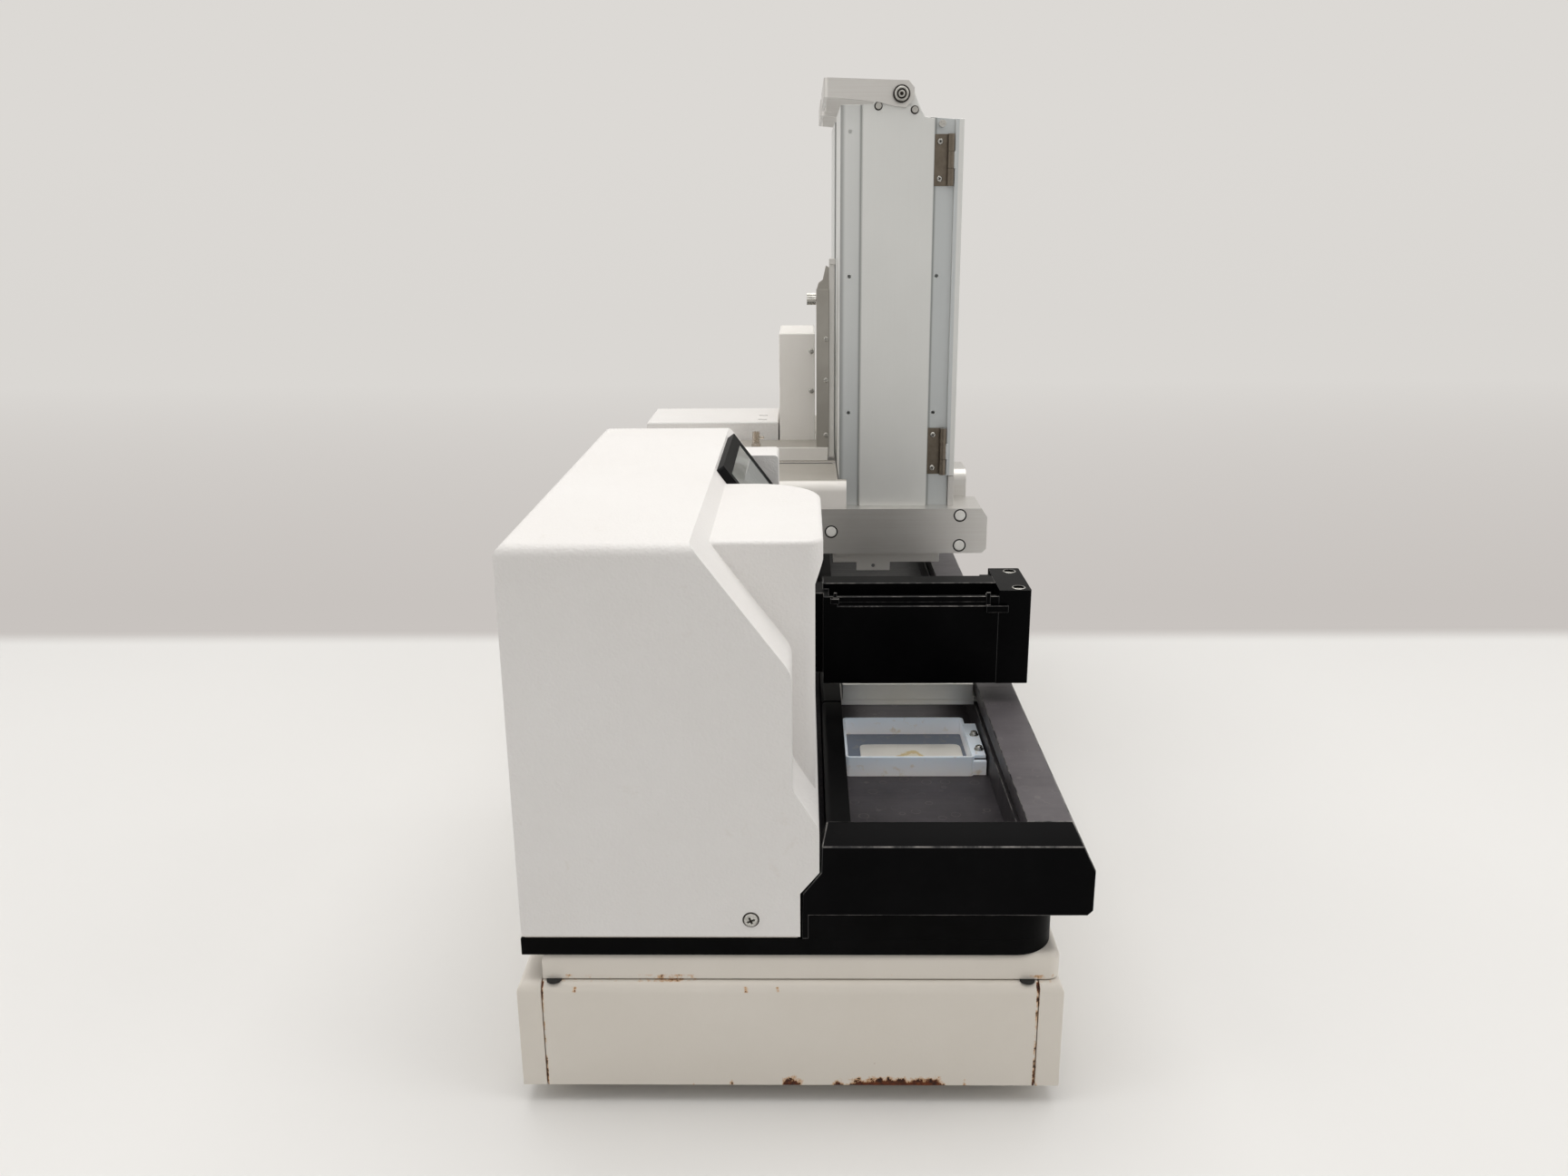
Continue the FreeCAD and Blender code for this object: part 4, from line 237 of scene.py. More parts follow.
flaky = add(tree, "MapRange", {"Value": ragged, "From Min": 0.42, "From Max": 0.62}).outputs[0]
rust = add(tree, "Mix", {0: flaky, 6: linear("6b3413"), 7: linear("24100a")}, data_type="RGBA").outputs[2]
haloed = add(tree, "Mix", {0: stain, 6: clean, 7: linear("c8965a")}, data_type="RGBA").outputs[2]
coat = add(tree, "Mix", {0: chip, 6: haloed, 7: rust}, data_type="RGBA").outputs[2]
peel = add(tree, "TexNoise", {"Vector": place, "Scale": 1 / 0.002, "Detail": 2.0}).outputs[0]
height = add(tree, "Math", {0: peel, 1: chip}, operation="SUBTRACT").outputs[0]
dress(tree, shader, coat, (chip, 0.38, 0.9), (height, 0.12, 0.0004))

for node in ("cabinet_body", "rear_cover", "front_cover"):
    fitted(node, cream_coat, edge=0.0007)

# Feet and tray pads
# Eight feet of moulded nitrile rubber, screwed under the cabinet and under the stacker's casing, and four
# thin rubber pads that keep the tray off the cabinet's top.

# Nitrile rubber: dull, nearly black, and paler where dust sits on it.
black_rubber, tree, shader, place = begin("moulded_black_rubber", IOR=1.52, Roughness=0.85)
dust = add(tree, "TexNoise", {"Vector": place, "Scale": 1 / 0.009, "Detail": 6.0,
                              "Roughness": 0.7}).outputs[0]
grey = add(tree, "Mix", {0: dust, 6: linear("101010"), 7: linear("262523")}, data_type="RGBA").outputs[2]
grain = add(tree, "TexNoise", {"Vector": place, "Scale": 1 / 0.0012, "Detail": 2.0}).outputs[0]
dress(tree, shader, grey, relief=(grain, 0.3, 0.0003))


def grid_piece(name, points, material, round_u=False, round_v=False, sharp=40.0):
    """A surface through a grid of points, shaped (u, v, 3), with a quad between each four neighbours, or
    several such surfaces of one size in a stack. A round direction is joined to its own start."""
    grids = points.reshape((-1,) + points.shape[-3:])
    n, m = grids.shape[1:3]
    u = np.arange(n if round_u else n - 1)
    v = np.arange(m if round_v else m - 1)
    a, b = np.meshgrid(u, v, indexing="ij")
    a2, b2 = (a + 1) % n, (b + 1) % m
    quads = np.stack([a * m + b, a2 * m + b, a2 * m + b2, a * m + b2], -1).reshape(-1, 4)
    quads = (quads + n * m * np.arange(len(grids))[:, None, None]).reshape(-1, 4)
    mesh = bpy.data.meshes.new(name)
    mesh.from_pydata(grids.reshape(-1, 3), [], quads)
    mesh.materials.append(material)
    shape = bmesh.new()
    shape.from_mesh(mesh)
    bmesh.ops.remove_doubles(shape, verts=shape.verts, dist=1e-6)
    bmesh.ops.recalc_face_normals(shape, faces=shape.faces)
    for face in shape.faces:
        face.smooth = True
    for line in shape.edges:
        line.smooth = len(line.link_faces) == 2 and line.calc_face_angle(0.0) < math.radians(sharp)
    shape.to_mesh(mesh)
    shape.free()
    piece = bpy.data.objects.new(name, mesh)
    bpy.context.scene.collection.objects.link(piece)
    return piece


def round_parts(name, spots, axis, profile, material, body, slot, recess=None, dirt=None, around=72):
    """Equal turned parts, one at each spot. The profile, radius and height in millimetres, is carried round
    the axis from the middle of the outer face to the middle of the underside. A recess lowers the outer face
    by its depth inside a cross of two bars or inside a hexagon, given as kind, half width, reach and depth,
    and its walls slope over a short way. Dirt is a material for a thin disc on the recess's floor."""
    twist, slope = 0.4, 0.12
    steps = 8
    path = np.array(profile, float)
    run = np.linspace(0, len(path) - 1, steps * (len(path) - 1) + 1)
    radius, height = (np.interp(run, np.arange(len(path)), path[:, i]) for i in (0, 1))
    turn = np.linspace(0, 2 * np.pi, around, endpoint=False) + twist
    p, q = np.outer(radius, np.cos(turn - twist)), np.outer(radius, np.sin(turn - twist))
    rise = np.repeat(height[:, None], around, axis=1)
    if recess:
        kind, half, reach, depth = recess
        bars = [np.clip((half - abs(s)) / slope, 0, 1) * np.clip((reach - abs(t)) / slope, 0, 1)
                for s, t in ((p, q), (q, p))]
        sides = [abs(p * math.cos(a) + q * math.sin(a)) for a in (0.0, math.pi / 3, 2 * math.pi / 3)]
        hexagon = np.clip((half - np.max(sides, axis=0)) / slope, 0, 1)
        inside = np.max(bars, axis=0) if kind == "cross" else hexagon
        rise = rise - np.where(rise > 0.6 * rise.max(), depth * inside, 0)
    axis = np.array(axis, float)
    first = np.cross(axis, (0.0, 0.0, 1.0) if abs(axis[2]) < 0.5 else (1.0, 0.0, 0.0))
    second = np.cross(axis, first)
    wide, deep = np.outer(radius, np.cos(turn)), np.outer(radius, np.sin(turn))
    one = (wide[..., None] * first + deep[..., None] * second + rise[..., None] * axis) / 1000
    piece = grid_piece(name, np.array(spots)[:, None, None, :] + one, material, round_v=True)
    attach(piece, body)
    if dirt:
        floor = max(h for r, h in profile) - recess[3]
        rim = max(recess[1], recess[2]) * 1.12
        over, under = floor + 0.08, floor - 0.1
        layer = [(0, over), (rim, over), (rim, under), (0, under)]
        round_parts(name + "_recess", spots, axis, layer, dirt, body, slot, around=24)
    return piece


cabinet_spots = [(40, 40), (40, 282), (360, 40), (360, 282)]
casing_spots = [(513, 40), (513, 278), (840, 40), (840, 278)]
foot_spots = [here(d, r, 0) for d, r in cabinet_spots + casing_spots]
foot_profile = [(0, 12), (11.2, 12), (12, 11.6), (12.2, 10.8), (13, 1.4), (12.7, 0.5), (11.8, 0), (9, 0),
                (8.6, 1), (0, 1)]
feet = round_parts("moulded_feet", foot_spots, (0, 0, 1), foot_profile, black_rubber, "body", "rubber")
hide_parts("feet")
fitted("tray_pads", black_rubber, edge=0)

# Tray
# The loose lid that the dispenser stands on: one sheet of steel folded down on all sides, with rounded
# corners, in the cabinet's own powder coat.

fitted("top_tray", cream_coat, edge=0.0004)

# Black plinth
# The dispenser's foot plate, and the block on it that carries the track: both machined from aluminium plate
# and sprayed satin black.

# Black satin paint on metal: almost no colour of its own, with soft broad highlights, pale dust and fine
# rubs.
black_paint, tree, shader, place = begin("satin_black_paint", IOR=1.45, Specular_IOR_Level=0.05)
cloud = add(tree, "TexNoise", {"Vector": place, "Scale": 1 / 0.05, "Detail": 6.0,
                               "Roughness": 0.65}).outputs[0]
dust_and_painted_dark_tops = add(tree, "MapRange", {"Value": cloud, "From Min": 0.45, "From Max": 0.75}).outputs[0]
black = add(tree, "Mix", {0: dust_and_painted_dark_tops, 6: linear("030303"), 7: linear("0a0a0b")}, data_type="RGBA").outputs[2]
grain = add(tree, "TexNoise", {"Vector": place, "Scale": 1 / 0.0015, "Detail": 2.0}).outputs[0]
dress(tree, shader, black, (cloud, 0.38, 0.55), (grain, 0.1, 0.0003))

for node in ("base_plate", "pedestal"):
    fitted(node, black_paint, edge=0.0009, steps=3)

# Housing
# The dispenser's cover: rigid polyurethane foam moulding with a hard skin, sprayed off-white in a pebbled
# textured paint, one shell down to the plinth. The head cover and the side pod are separate mouldings.

# Textured off-white paint on a moulding: matt, with pebbles about 1.2 mm across, drawn at 1.5 mm so that they
# show, faint handling marks, a warm cast and a brown line of dirt along the foot.
pebbled_paint, tree, shader, place = begin("pebbled_offwhite_paint", IOR=1.48)
xyz = add(tree, "SeparateXYZ", {0: place}).outputs
cloud = add(tree, "TexNoise", {"Vector": place, "Scale": 1 / 0.09, "Detail": 5.0,
                               "Roughness": 0.6}).outputs[0]
white = add(tree, "Mix", {0: cloud, 6: linear("ebe9e7"), 7: linear("e4e1de")}, data_type="RGBA").outputs[2]
smear = add(tree, "TexNoise", {"Vector": place, "Scale": 1 / 0.017, "Detail": 7.0, "Roughness": 0.75,
                               "Distortion": 0.6}).outputs[0]
soiled = add(tree, "MapRange", {"Value": smear, "From Min": 0.62, "From Max": 0.80,
                                "To Max": 0.25}).outputs[0]
foot = band(tree, xyz[2], 0.1090, 0.1102, 0.0022)
foot = add(tree, "Math", {0: foot, 1: smear}, operation="MULTIPLY").outputs[0]
soiled = add(tree, "Math", {0: soiled, 1: foot}, operation="MAXIMUM").outputs[0]
marked = add(tree, "Mix", {0: soiled, 6: white, 7: linear("c4b7a2")}, data_type="RGBA").outputs[2]
dress(tree, shader, marked, (cloud, 0.52, 0.64))
pebbles = add(tree, "TexVoronoi", {"Vector": place, "Scale": 1 / 0.0015, "Smoothness": 0.6},
              feature="SMOOTH_F1").outputs[0]
lumps = add(tree, "TexNoise", {"Vector": place, "Scale": 1 / 0.0026, "Detail": 3.0}).outputs[0]
skin = add(tree, "Math", {0: pebbles, 1: lumps}, operation="SUBTRACT").outputs[0]
bump = add(tree, "Bump", {"Height": skin, "Strength": 0.35, "Distance": 0.0006}, invert=True).outputs[0]
tree.links.new(bump, shader.inputs["Normal"])

fitted("housing_shell", pebbled_paint, edge=0.0008, steps=3)
for node in ("head_cover", "side_pod"):
    fitted(node, pebbled_paint, edge=0.0010, steps=3)

# Inlet and switch
# The mains inlet and the rocker switch beside it: moulded in black glass-filled nylon and clipped into the
# rear wall of the housing.

# Glass-filled black nylon: dull with a fine sparkle grain.
black_nylon, tree, shader, place = begin("moulded_black_nylon", IOR=1.53, Specular_IOR_Level=0.10)
grain = add(tree, "TexNoise", {"Vector": place, "Scale": 1 / 0.001, "Detail": 3.0}).outputs[0]
tone = add(tree, "Mix", {0: grain, 6: linear("09090a"), 7: linear("121213")}, data_type="RGBA").outputs[2]
dress(tree, shader, tone, (grain, 0.5, 0.65), (grain, 0.25, 0.0002))

fitted("inlet_module", black_nylon, edge=0.0006)
fitted("power_switch", black_nylon, edge=0.0008, steps=3)

# Screen
# A moulded black bezel on the sloping face of the housing, and the display's sheet of toughened glass let
# into it.

# Display glass over a dead grey liquid crystal: smooth and glossy, with wiped finger marks.
display_glass, tree, shader, place = begin("display_glass", IOR=1.52, Coat_Weight=0.5, Coat_Roughness=0.03)
film = add(tree, "TexNoise", {"Vector": place, "Scale": 1 / 0.03, "Detail": 5.0,
                              "Distortion": 0.8}).outputs[0]
tint = add(tree, "Mix", {0: film, 6: linear("7f8483"), 7: linear("8c918e")}, data_type="RGBA").outputs[2]
tree.links.new(tint, shader.inputs["Base Color"])
rough = add(tree, "MapRange", {"Value": film, "From Min": 0.4, "From Max": 0.7, "To Min": 0.06,
                               "To Max": 0.22}).outputs[0]
tree.links.new(rough, shader.inputs["Roughness"])

fitted("screen_bezel", black_nylon, edge=0.0008, steps=3)
fitted("screen_glass", display_glass, edge=0.0002)

# Plate track
# The bed, its raised floor, the two slotted rails and a cap on each end, all machined from aluminium and
# anodised black. The carriage's tongues run in the slots.

# Black anodised aluminium: a satin skin, almost without reflection, that keeps the fine lines of the milling
# cutter along the track. The lines are about 0.3 mm apart and drawn at 1.1 mm so that they show.
black_anodised, tree, shader, place = begin("black_anodised_aluminium", IOR=1.45, Specular_IOR_Level=0.05)
along = add(tree, "Mapping", {"Vector": place, "Scale": (1 / 0.09, 1 / 0.0011, 1 / 0.0011)}).outputs[0]
milled = add(tree, "TexNoise", {"Vector": along, "Scale": 1.0, "Detail": 3.0}).outputs[0]
cloud = add(tree, "TexNoise", {"Vector": place, "Scale": 1 / 0.06, "Detail": 6.0,
                               "Roughness": 0.62}).outputs[0]
bloom = add(tree, "MapRange", {"Value": cloud, "From Min": 0.42, "From Max": 0.78}).outputs[0]
black = add(tree, "Mix", {0: bloom, 6: linear("030304"), 7: linear("0b0b0c")}, data_type="RGBA").outputs[2]
dress(tree, shader, black, (cloud, 0.34, 0.48), (milled, 0.08, 0.0003))

# The same anodising on the bed and the front rail: a cool brown-grey bloom with wipe marks across the track
# and dried rings from drops. The brown-grey, lighter on the front rail's top, is a painted reflection of the
# pale room on these level faces. Under the deck the bed is painted black, a painted shade.
wiped_anodised_painted_sheen_and_shade, tree, shader, place = begin("wiped_black_anodised_painted_sheen_and_shade", IOR=1.45)
xyz = add(tree, "SeparateXYZ", {0: place}).outputs
cloud = add(tree, "TexNoise", {"Vector": place, "Scale": 1 / 0.05, "Detail": 7.0,
                               "Roughness": 0.66}).outputs[0]
wiped = add(tree, "Mapping", {"Vector": place, "Scale": (1 / 0.004, 1 / 0.05, 1 / 0.05)}).outputs[0]
wipes = add(tree, "TexNoise", {"Vector": wiped, "Scale": 1.0, "Detail": 5.0, "Distortion": 0.4}).outputs[0]
bloom = add(tree, "MapRange", {"Value": cloud, "From Min": 0.30, "From Max": 0.70}).outputs[0]
# Painted shade: the bed under the deck is painted near black. Painted reflection: the front rail's top is
# painted a lighter grey.
under_deck_shade_mask = add(tree, "MapRange", {"Value": xyz[0], "From Min": -0.17, "From Max": -0.11}).outputs[0]
rail_top_sheen_mask = add(tree, "MapRange", {"Value": xyz[2], "From Min": 0.170, "From Max": 0.176}).outputs[0]
bed_painted_light_tone = add(tree, "Mix", {0: bloom, 6: linear("2b282b"), 7: linear("423e42")}, data_type="RGBA").outputs[2]
bed_painted_light_tone = add(tree, "Mix", {0: under_deck_shade_mask, 6: bed_painted_light_tone, 7: linear("0c0c0d")}, data_type="RGBA").outputs[2]
rail_top_sheen_tone = add(tree, "Mix", {0: bloom, 6: linear("4b474a"), 7: linear("5c585b")},
                data_type="RGBA").outputs[2]
tone = add(tree, "Mix", {0: rail_top_sheen_mask, 6: bed_painted_light_tone, 7: rail_top_sheen_tone}, data_type="RGBA").outputs[2]
drops = add(tree, "TexVoronoi", {"Vector": place, "Scale": 1 / 0.012, "Randomness": 1.0}).outputs[0]
ring = band(tree, drops, 0.26, 0.29, 0.03)
marks = add(tree, "Math", {0: ring, 1: wipes}, operation="MULTIPLY").outputs[0]
marks = add(tree, "MapRange", {"Value": marks, "From Min": 0.35, "From Max": 0.8, "To Max": 0.5}).outputs[0]
tone = add(tree, "Mix", {0: marks, 6: tone, 7: linear("77716f")}, data_type="RGBA").outputs[2]
dress(tree, shader, tone, (wipes, 0.36, 0.56), (wipes, 0.08, 0.0003))

# Rubbed anodising on the edges: the black has worn through to grey alloy in broken lines along level edges,
# and the same grey there is also a painted highlight.
edge_wear_and_highlight, tree, shader, place = begin("anodised_edge_wear_and_painted_highlight", Roughness=0.45)
breaks = add(tree, "TexNoise", {"Vector": place, "Scale": 1 / 0.012, "Detail": 8.0,
                                "Roughness": 0.72}).outputs[0]
bare = add(tree, "MapRange", {"Value": breaks, "From Min": 0.44, "From Max": 0.66}).outputs[0]
tilt = add(tree, "SeparateXYZ", {0: add(tree, "TexCoord").outputs["Normal"]}).outputs[2]
tilt = add(tree, "Math", {0: tilt}, operation="ABSOLUTE").outputs[0]
# Partly painted highlight: the bare grey is kept to edges that run level, where the light catches them.
level = add(tree, "MapRange", {"Value": tilt, "From Min": 0.10, "From Max": 0.35}).outputs[0]
bare = add(tree, "Math", {0: bare, 1: level}, operation="MULTIPLY").outputs[0]
tone = add(tree, "Mix", {0: bare, 6: linear("141416"), 7: linear("8f8c89")}, data_type="RGBA").outputs[2]
tree.links.new(tone, shader.inputs["Base Color"])
metal = add(tree, "MapRange", {"Value": bare, "To Max": 0.7}).outputs[0]
tree.links.new(metal, shader.inputs["Metallic"])

for node in ("rear_rail", "near_end_cap", "far_end_cap"):
    fitted(node, black_anodised, edge=0.0006, steps=3, worn_highlit_edge=edge_wear_and_highlight)
for node in ("track_bed", "front_rail"):
    fitted(node, wiped_anodised_painted_sheen_and_shade, edge=0.0006, steps=3, worn_highlit_edge=edge_wear_and_highlight)

# Belt drive
# A belt of moulded neoprene runs inside the front rail, round a toothed pulley on the motor's shaft and an
# idler at the near end. Both pulleys are turned from aluminium bar.

# Neoprene belt: matt black with the pale cords of its weave along it.
belt_rubber, tree, shader, place = begin("cord_reinforced_belt_rubber", IOR=1.5, Roughness=0.8)
cords = add(tree, "TexWave", {"Vector": place, "Scale": 1 / 0.006, "Distortion": 0.6},
            bands_direction="Y").outputs[1]
tone = add(tree, "Mix", {0: cords, 6: linear("141414"), 7: linear("2a2a2a")}, data_type="RGBA").outputs[2]
dress(tree, shader, tone, relief=(cords, 0.3, 0.0003))
fitted("drive_belt", belt_rubber, edge=0.0002)

# Turned and milled aluminium: bright satin with fine marks of the tool, for the pulleys, the sled and the
# nest.
turned_aluminium, tree, shader, place = begin("machined_aluminium", Metallic=1.0)
swirl = add(tree, "TexNoise", {"Vector": place, "Scale": 1 / 0.0013, "Detail": 4.0}).outputs[0]
cloud = add(tree, "TexNoise", {"Vector": place, "Scale": 1 / 0.04, "Detail": 5.0}).outputs[0]
tone = add(tree, "Mix", {0: cloud, 6: linear("d6d5d2"), 7: linear("c4c3bf")}, data_type="RGBA").outputs[2]
dress(tree, shader, tone, (swirl, 0.30, 0.48), (swirl, 0.12, 0.0002))
for node in ("drive_pulley", "idler_pulley"):
    fitted(node, turned_aluminium, edge=0.00015)

# Brushed stainless steel: grey, with fine scratches that run upright.
brushed_steel, tree, shader, place = begin("brushed_stainless_steel", Metallic=1.0)
upright = add(tree, "Mapping", {"Vector": place, "Scale": (1 / 0.0012, 1 / 0.0012, 1 / 0.05)}).outputs[0]
brush = add(tree, "TexNoise", {"Vector": upright, "Scale": 1.0, "Detail": 4.0}).outputs[0]
cloud = add(tree, "TexNoise", {"Vector": place, "Scale": 1 / 0.03, "Detail": 5.0}).outputs[0]
tone = add(tree, "Mix", {0: cloud, 6: linear("b4b1ab"), 7: linear("98948d")}, data_type="RGBA").outputs[2]
dress(tree, shader, tone, (brush, 0.26, 0.44), (brush, 0.15, 0.0002))
fitted("drive_motor", brushed_steel, edge=0.0005)

# Plate carriage
# The sled and the low wall round the plate, milled from aluminium plate. Its tongues run in the rails' slots
# and a clamp grips the belt.

for node in ("carriage_sled", "plate_nest"):
    fitted(node, turned_aluminium, edge=0.0004)

# Waste trough
# The tray that catches priming liquid under the tips: a sheet of milky polypropylene formed over a block and
# held by two screws through its flange, with a lining of fibre fleece laid in it.

# Polypropylene: milky, waxy and a little bluish where the light comes through, with dried drops. A weak glow
# of its own colour stands for the light that scatters through the sheet.
milky_plastic, tree, shader, place = begin("milky_polypropylene", IOR=1.49, Subsurface_Weight=0.25,
                                           Subsurface_Scale=0.002, Emission_Strength=0.13)
shader.inputs["Subsurface Radius"].default_value = (0.6, 0.8, 1.0)
cloud = add(tree, "TexNoise", {"Vector": place, "Scale": 1 / 0.02, "Detail": 5.0}).outputs[0]
upward = add(tree, "SeparateXYZ", {0: place}).outputs[2]
high = add(tree, "MapRange", {"Value": upward, "From Min": 0.138, "From Max": 0.150}).outputs[0]
cool = add(tree, "Mix", {0: cloud, 6: linear("dbe6f1"), 7: linear("e6edf4")}, data_type="RGBA").outputs[2]
milk = add(tree, "Mix", {0: high, 6: linear("f2efee"), 7: cool}, data_type="RGBA").outputs[2]
drops = add(tree, "TexNoise", {"Vector": place, "Scale": 1 / 0.006, "Detail": 6.0}).outputs[0]
dried = add(tree, "MapRange", {"Value": drops, "From Min": 0.6, "From Max": 0.75, "To Max": 0.5}).outputs[0]
milk = add(tree, "Mix", {0: dried, 6: milk, 7: linear("c9b184")}, data_type="RGBA").outputs[2]
tree.links.new(milk, shader.inputs["Emission Color"])
dress(tree, shader, milk, (drops, 0.22, 0.42), (drops, 0.1, 0.0004))

# The trough's thin floor: the black bed darkens the milky sheet from below, bluish, with dried splashes.
thin_milk, tree, shader, place = begin("thin_polypropylene_over_black", IOR=1.49, Roughness=0.25)
drops = add(tree, "TexNoise", {"Vector": place, "Scale": 1 / 0.006, "Detail": 6.0}).outputs[0]
dried = add(tree, "MapRange", {"Value": drops, "From Min": 0.55, "From Max": 0.75, "To Max": 0.4}).outputs[0]
tone = add(tree, "Mix", {0: dried, 6: linear("79818f"), 7: linear("a9a392")}, data_type="RGBA").outputs[2]
tree.links.new(tone, shader.inputs["Base Color"])
floor_under, floor_over = 0.1380, 0.1395
fitted("waste_trough", milky_plastic, edge=0.0004,
               other=(thin_milk, lambda middle: floor_under < middle.z < floor_over))


def strip(path, across, half, thick, corner=0.4):
    """A flat bar: a rounded rectangle, its long side across the path and level, its short side square to the
    path, carried along a path of forward and up values in millimetres and closed at both ends."""
    path = np.array(path, float)
    step = np.gradient(path, axis=0)
    step /= np.linalg.norm(step, axis=1)[:, None]
    square = np.stack([-step[:, 1], step[:, 0]], -1)
    turn = np.linspace(0, 2 * np.pi, 32, endpoint=False) + np.pi / 32
    wide = np.clip(np.cos(turn) * 2, -1, 1) * (half - corner) + np.cos(turn) * corner
    deep = np.clip(np.sin(turn) * 2, -1, 1) * (thick / 2 - corner) + np.sin(turn) * corner
    forward, up = (path[:, i, None] + square[:, i, None] * deep for i in (0, 1))
    rings = np.stack(here(across + np.broadcast_to(wide, forward.shape), forward, up), -1)
    ends = [np.broadcast_to(rings[i].mean(axis=0), rings[i].shape)[None] for i in (0, -1)]
    return np.concatenate([ends[0], rings, ends[1]])


skirt_up, skirt_along = 142.6, 169.6
skirt_path = [(forward, skirt_up) for forward in (286.4, 290.0, 297.4)]
skirt = grid_piece("trough_flange_skirt", strip(skirt_path, skirt_along, 1.8, 10.6), milky_plastic,
                   round_v=True)
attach(skirt, "body")


# The trough's lining, non-woven fleece that has gone limp: matt white with short crossing fibres about 0.3 mm
# thick, drawn at 1 mm so that they show, and a yellow ring where drops land.
fleece, tree, shader, place = begin("nonwoven_fleece", IOR=1.45, Roughness=0.95, Sheen_Weight=0.3)
fibres = add(tree, "TexNoise", {"Vector": place, "Scale": 1 / 0.001, "Detail": 6.0, "Roughness": 0.8,
                                "Distortion": 2.0}).outputs[0]
pad_low, pad_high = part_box("trough_pad")
pad_far, pad_rear = 218.7, 211.0
pad_high.x, pad_high.y = here(pad_far, pad_rear, 0)[:2]
middle = (pad_low + pad_high) / 2
stain_length, stain_width = 0.012, 0.016
centred = add(tree, "Mapping", {"Vector": place, "Scale": (1 / stain_length, 1 / stain_width, 0.0),
                                "Location": (-middle.x / stain_length, -middle.y / stain_width, 0.0)})
spread = add(tree, "VectorMath", {0: centred.outputs[0]}, operation="LENGTH").outputs["Value"]
wobble = add(tree, "TexNoise", {"Vector": place, "Scale": 1 / 0.008, "Detail": 4.0}).outputs[0]
reach = add(tree, "Math", {0: spread, 1: wobble}, operation="ADD").outputs[0]
ring = band(tree, reach, 0.85, 1.0, 0.22)
inner = add(tree, "MapRange", {"Value": reach, "From Min": 1.0, "From Max": 0.7, "To Max": 0.35}).outputs[0]
stain = add(tree, "Math", {0: ring, 1: inner}, operation="MAXIMUM").outputs[0]
stain = add(tree, "Math", {0: stain, 1: 0.8}, operation="MULTIPLY").outputs[0]
paper = add(tree, "Mix", {0: fibres, 6: linear("faf7ef"), 7: linear("efebe1")}, data_type="RGBA").outputs[2]
tint = add(tree, "Mix", {0: stain, 6: paper, 7: linear("dcc27a")}, data_type="RGBA").outputs[2]
dress(tree, shader, tint, relief=(fibres, 0.5, 0.0004))


def limp_pad(low, high, rings=40, around=96):
    """A closed cushion-like sheet: around the middle runs a rounded rectangle, and from the rim to the middle
    the top rises by a quarter of an ellipse to its height, with slow waves, while the underside stays
    flat."""
    corner, wave_height, drop = 14.0, 0.0005, 0.0010
    turn = np.linspace(0, 2 * np.pi, around, endpoint=False)
    x = np.sign(np.cos(turn)) * np.abs(np.cos(turn)) ** (2 / corner)
    y = np.sign(np.sin(turn)) * np.abs(np.sin(turn)) ** (2 / corner)
    share = np.concatenate([np.sin(np.linspace(0, np.pi / 2, rings)), np.linspace(1, 0, rings)[1:]])
    upper = np.concatenate([np.ones(rings), np.zeros(rings - 1)])
    cx, cy = (low.x + high.x) / 2, (low.y + high.y) / 2
    px = cx + np.outer(share, x) * (high.x - low.x) / 2
    py = cy + np.outer(share, y) * (high.y - low.y) / 2
    crown = np.sqrt(np.clip(1 - share ** 6, 0, 1))[:, None]
    wave = wave_height * (np.sin(px * 210) + np.sin(py * 260 + px * 90))
    thick = high.z - low.z - drop
    pz = low.z + upper[:, None] * crown * (thick + wave)
    return np.stack([px, py, pz], -1)


pad = grid_piece("trough_lining", limp_pad(pad_low, pad_high), fleece, round_v=True)
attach(pad, frame["nodes"]["trough_pad"]["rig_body"])
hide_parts("trough_pad")

# Screws
# Small machine screws of bright plated steel hold the trough, the arm's end block, the cases, the mast and
# the hinges of the towers. Years of wiping have packed their recesses with grime.

# Zinc-plated steel: bright, with darker clouds where the plating has dulled.
plated_steel, tree, shader, place = begin("zinc_plated_steel", Metallic=1.0)
cloud = add(tree, "TexNoise", {"Vector": place, "Scale": 1 / 0.004, "Detail": 5.0}).outputs[0]
tone = add(tree, "Mix", {0: cloud, 6: linear("dddcd8"), 7: linear("8f8d86")}, data_type="RGBA").outputs[2]
dress(tree, shader, tone, (cloud, 0.18, 0.36))
# Grime packed in the recesses: dull, brownish black.
grime, tree, shader, place = begin("recess_grime", IOR=1.45, Roughness=0.9)
cloud = add(tree, "TexNoise", {"Vector": place, "Scale": 1 / 0.0008, "Detail": 4.0}).outputs[0]
tone = add(tree, "Mix", {0: cloud, 6: linear("1f1b18"), 7: linear("3a332c")}, data_type="RGBA").outputs[2]
tree.links.new(tone, shader.inputs["Base Color"])

pan_head = [(0, 1.75), (2.6, 1.72), (3.5, 1.45), (4.0, 1.0), (4.2, 0.4), (4.2, 0), (0, 0)]
housing_cross = ("cross", 0.55, 2.3, 1.3)
near_spot, far_spot = ([here(along, 138.9, 122.3)] for along in (4, 396))
near = round_parts("housing_screw_near", near_spot, (-1, 0, 0), pan_head, plated_steel, "body", "steel",
                   housing_cross, grime)
round_parts("housing_screw_far", far_spot, (1, 0, 0), pan_head, plated_steel, "body", "steel", housing_cross,
            grime)
small_head = [(0, 1.7), (1.6, 1.66), (2.2, 1.35), (2.55, 0.8), (2.6, 0.3), (2.6, 0), (0, 0)]
mast_spots = [here(575, 192.3, up) for up in (309.9, 362.9, 401.9)]
box_spots = [here(619, 178.5, up) for up in (386, 347)]
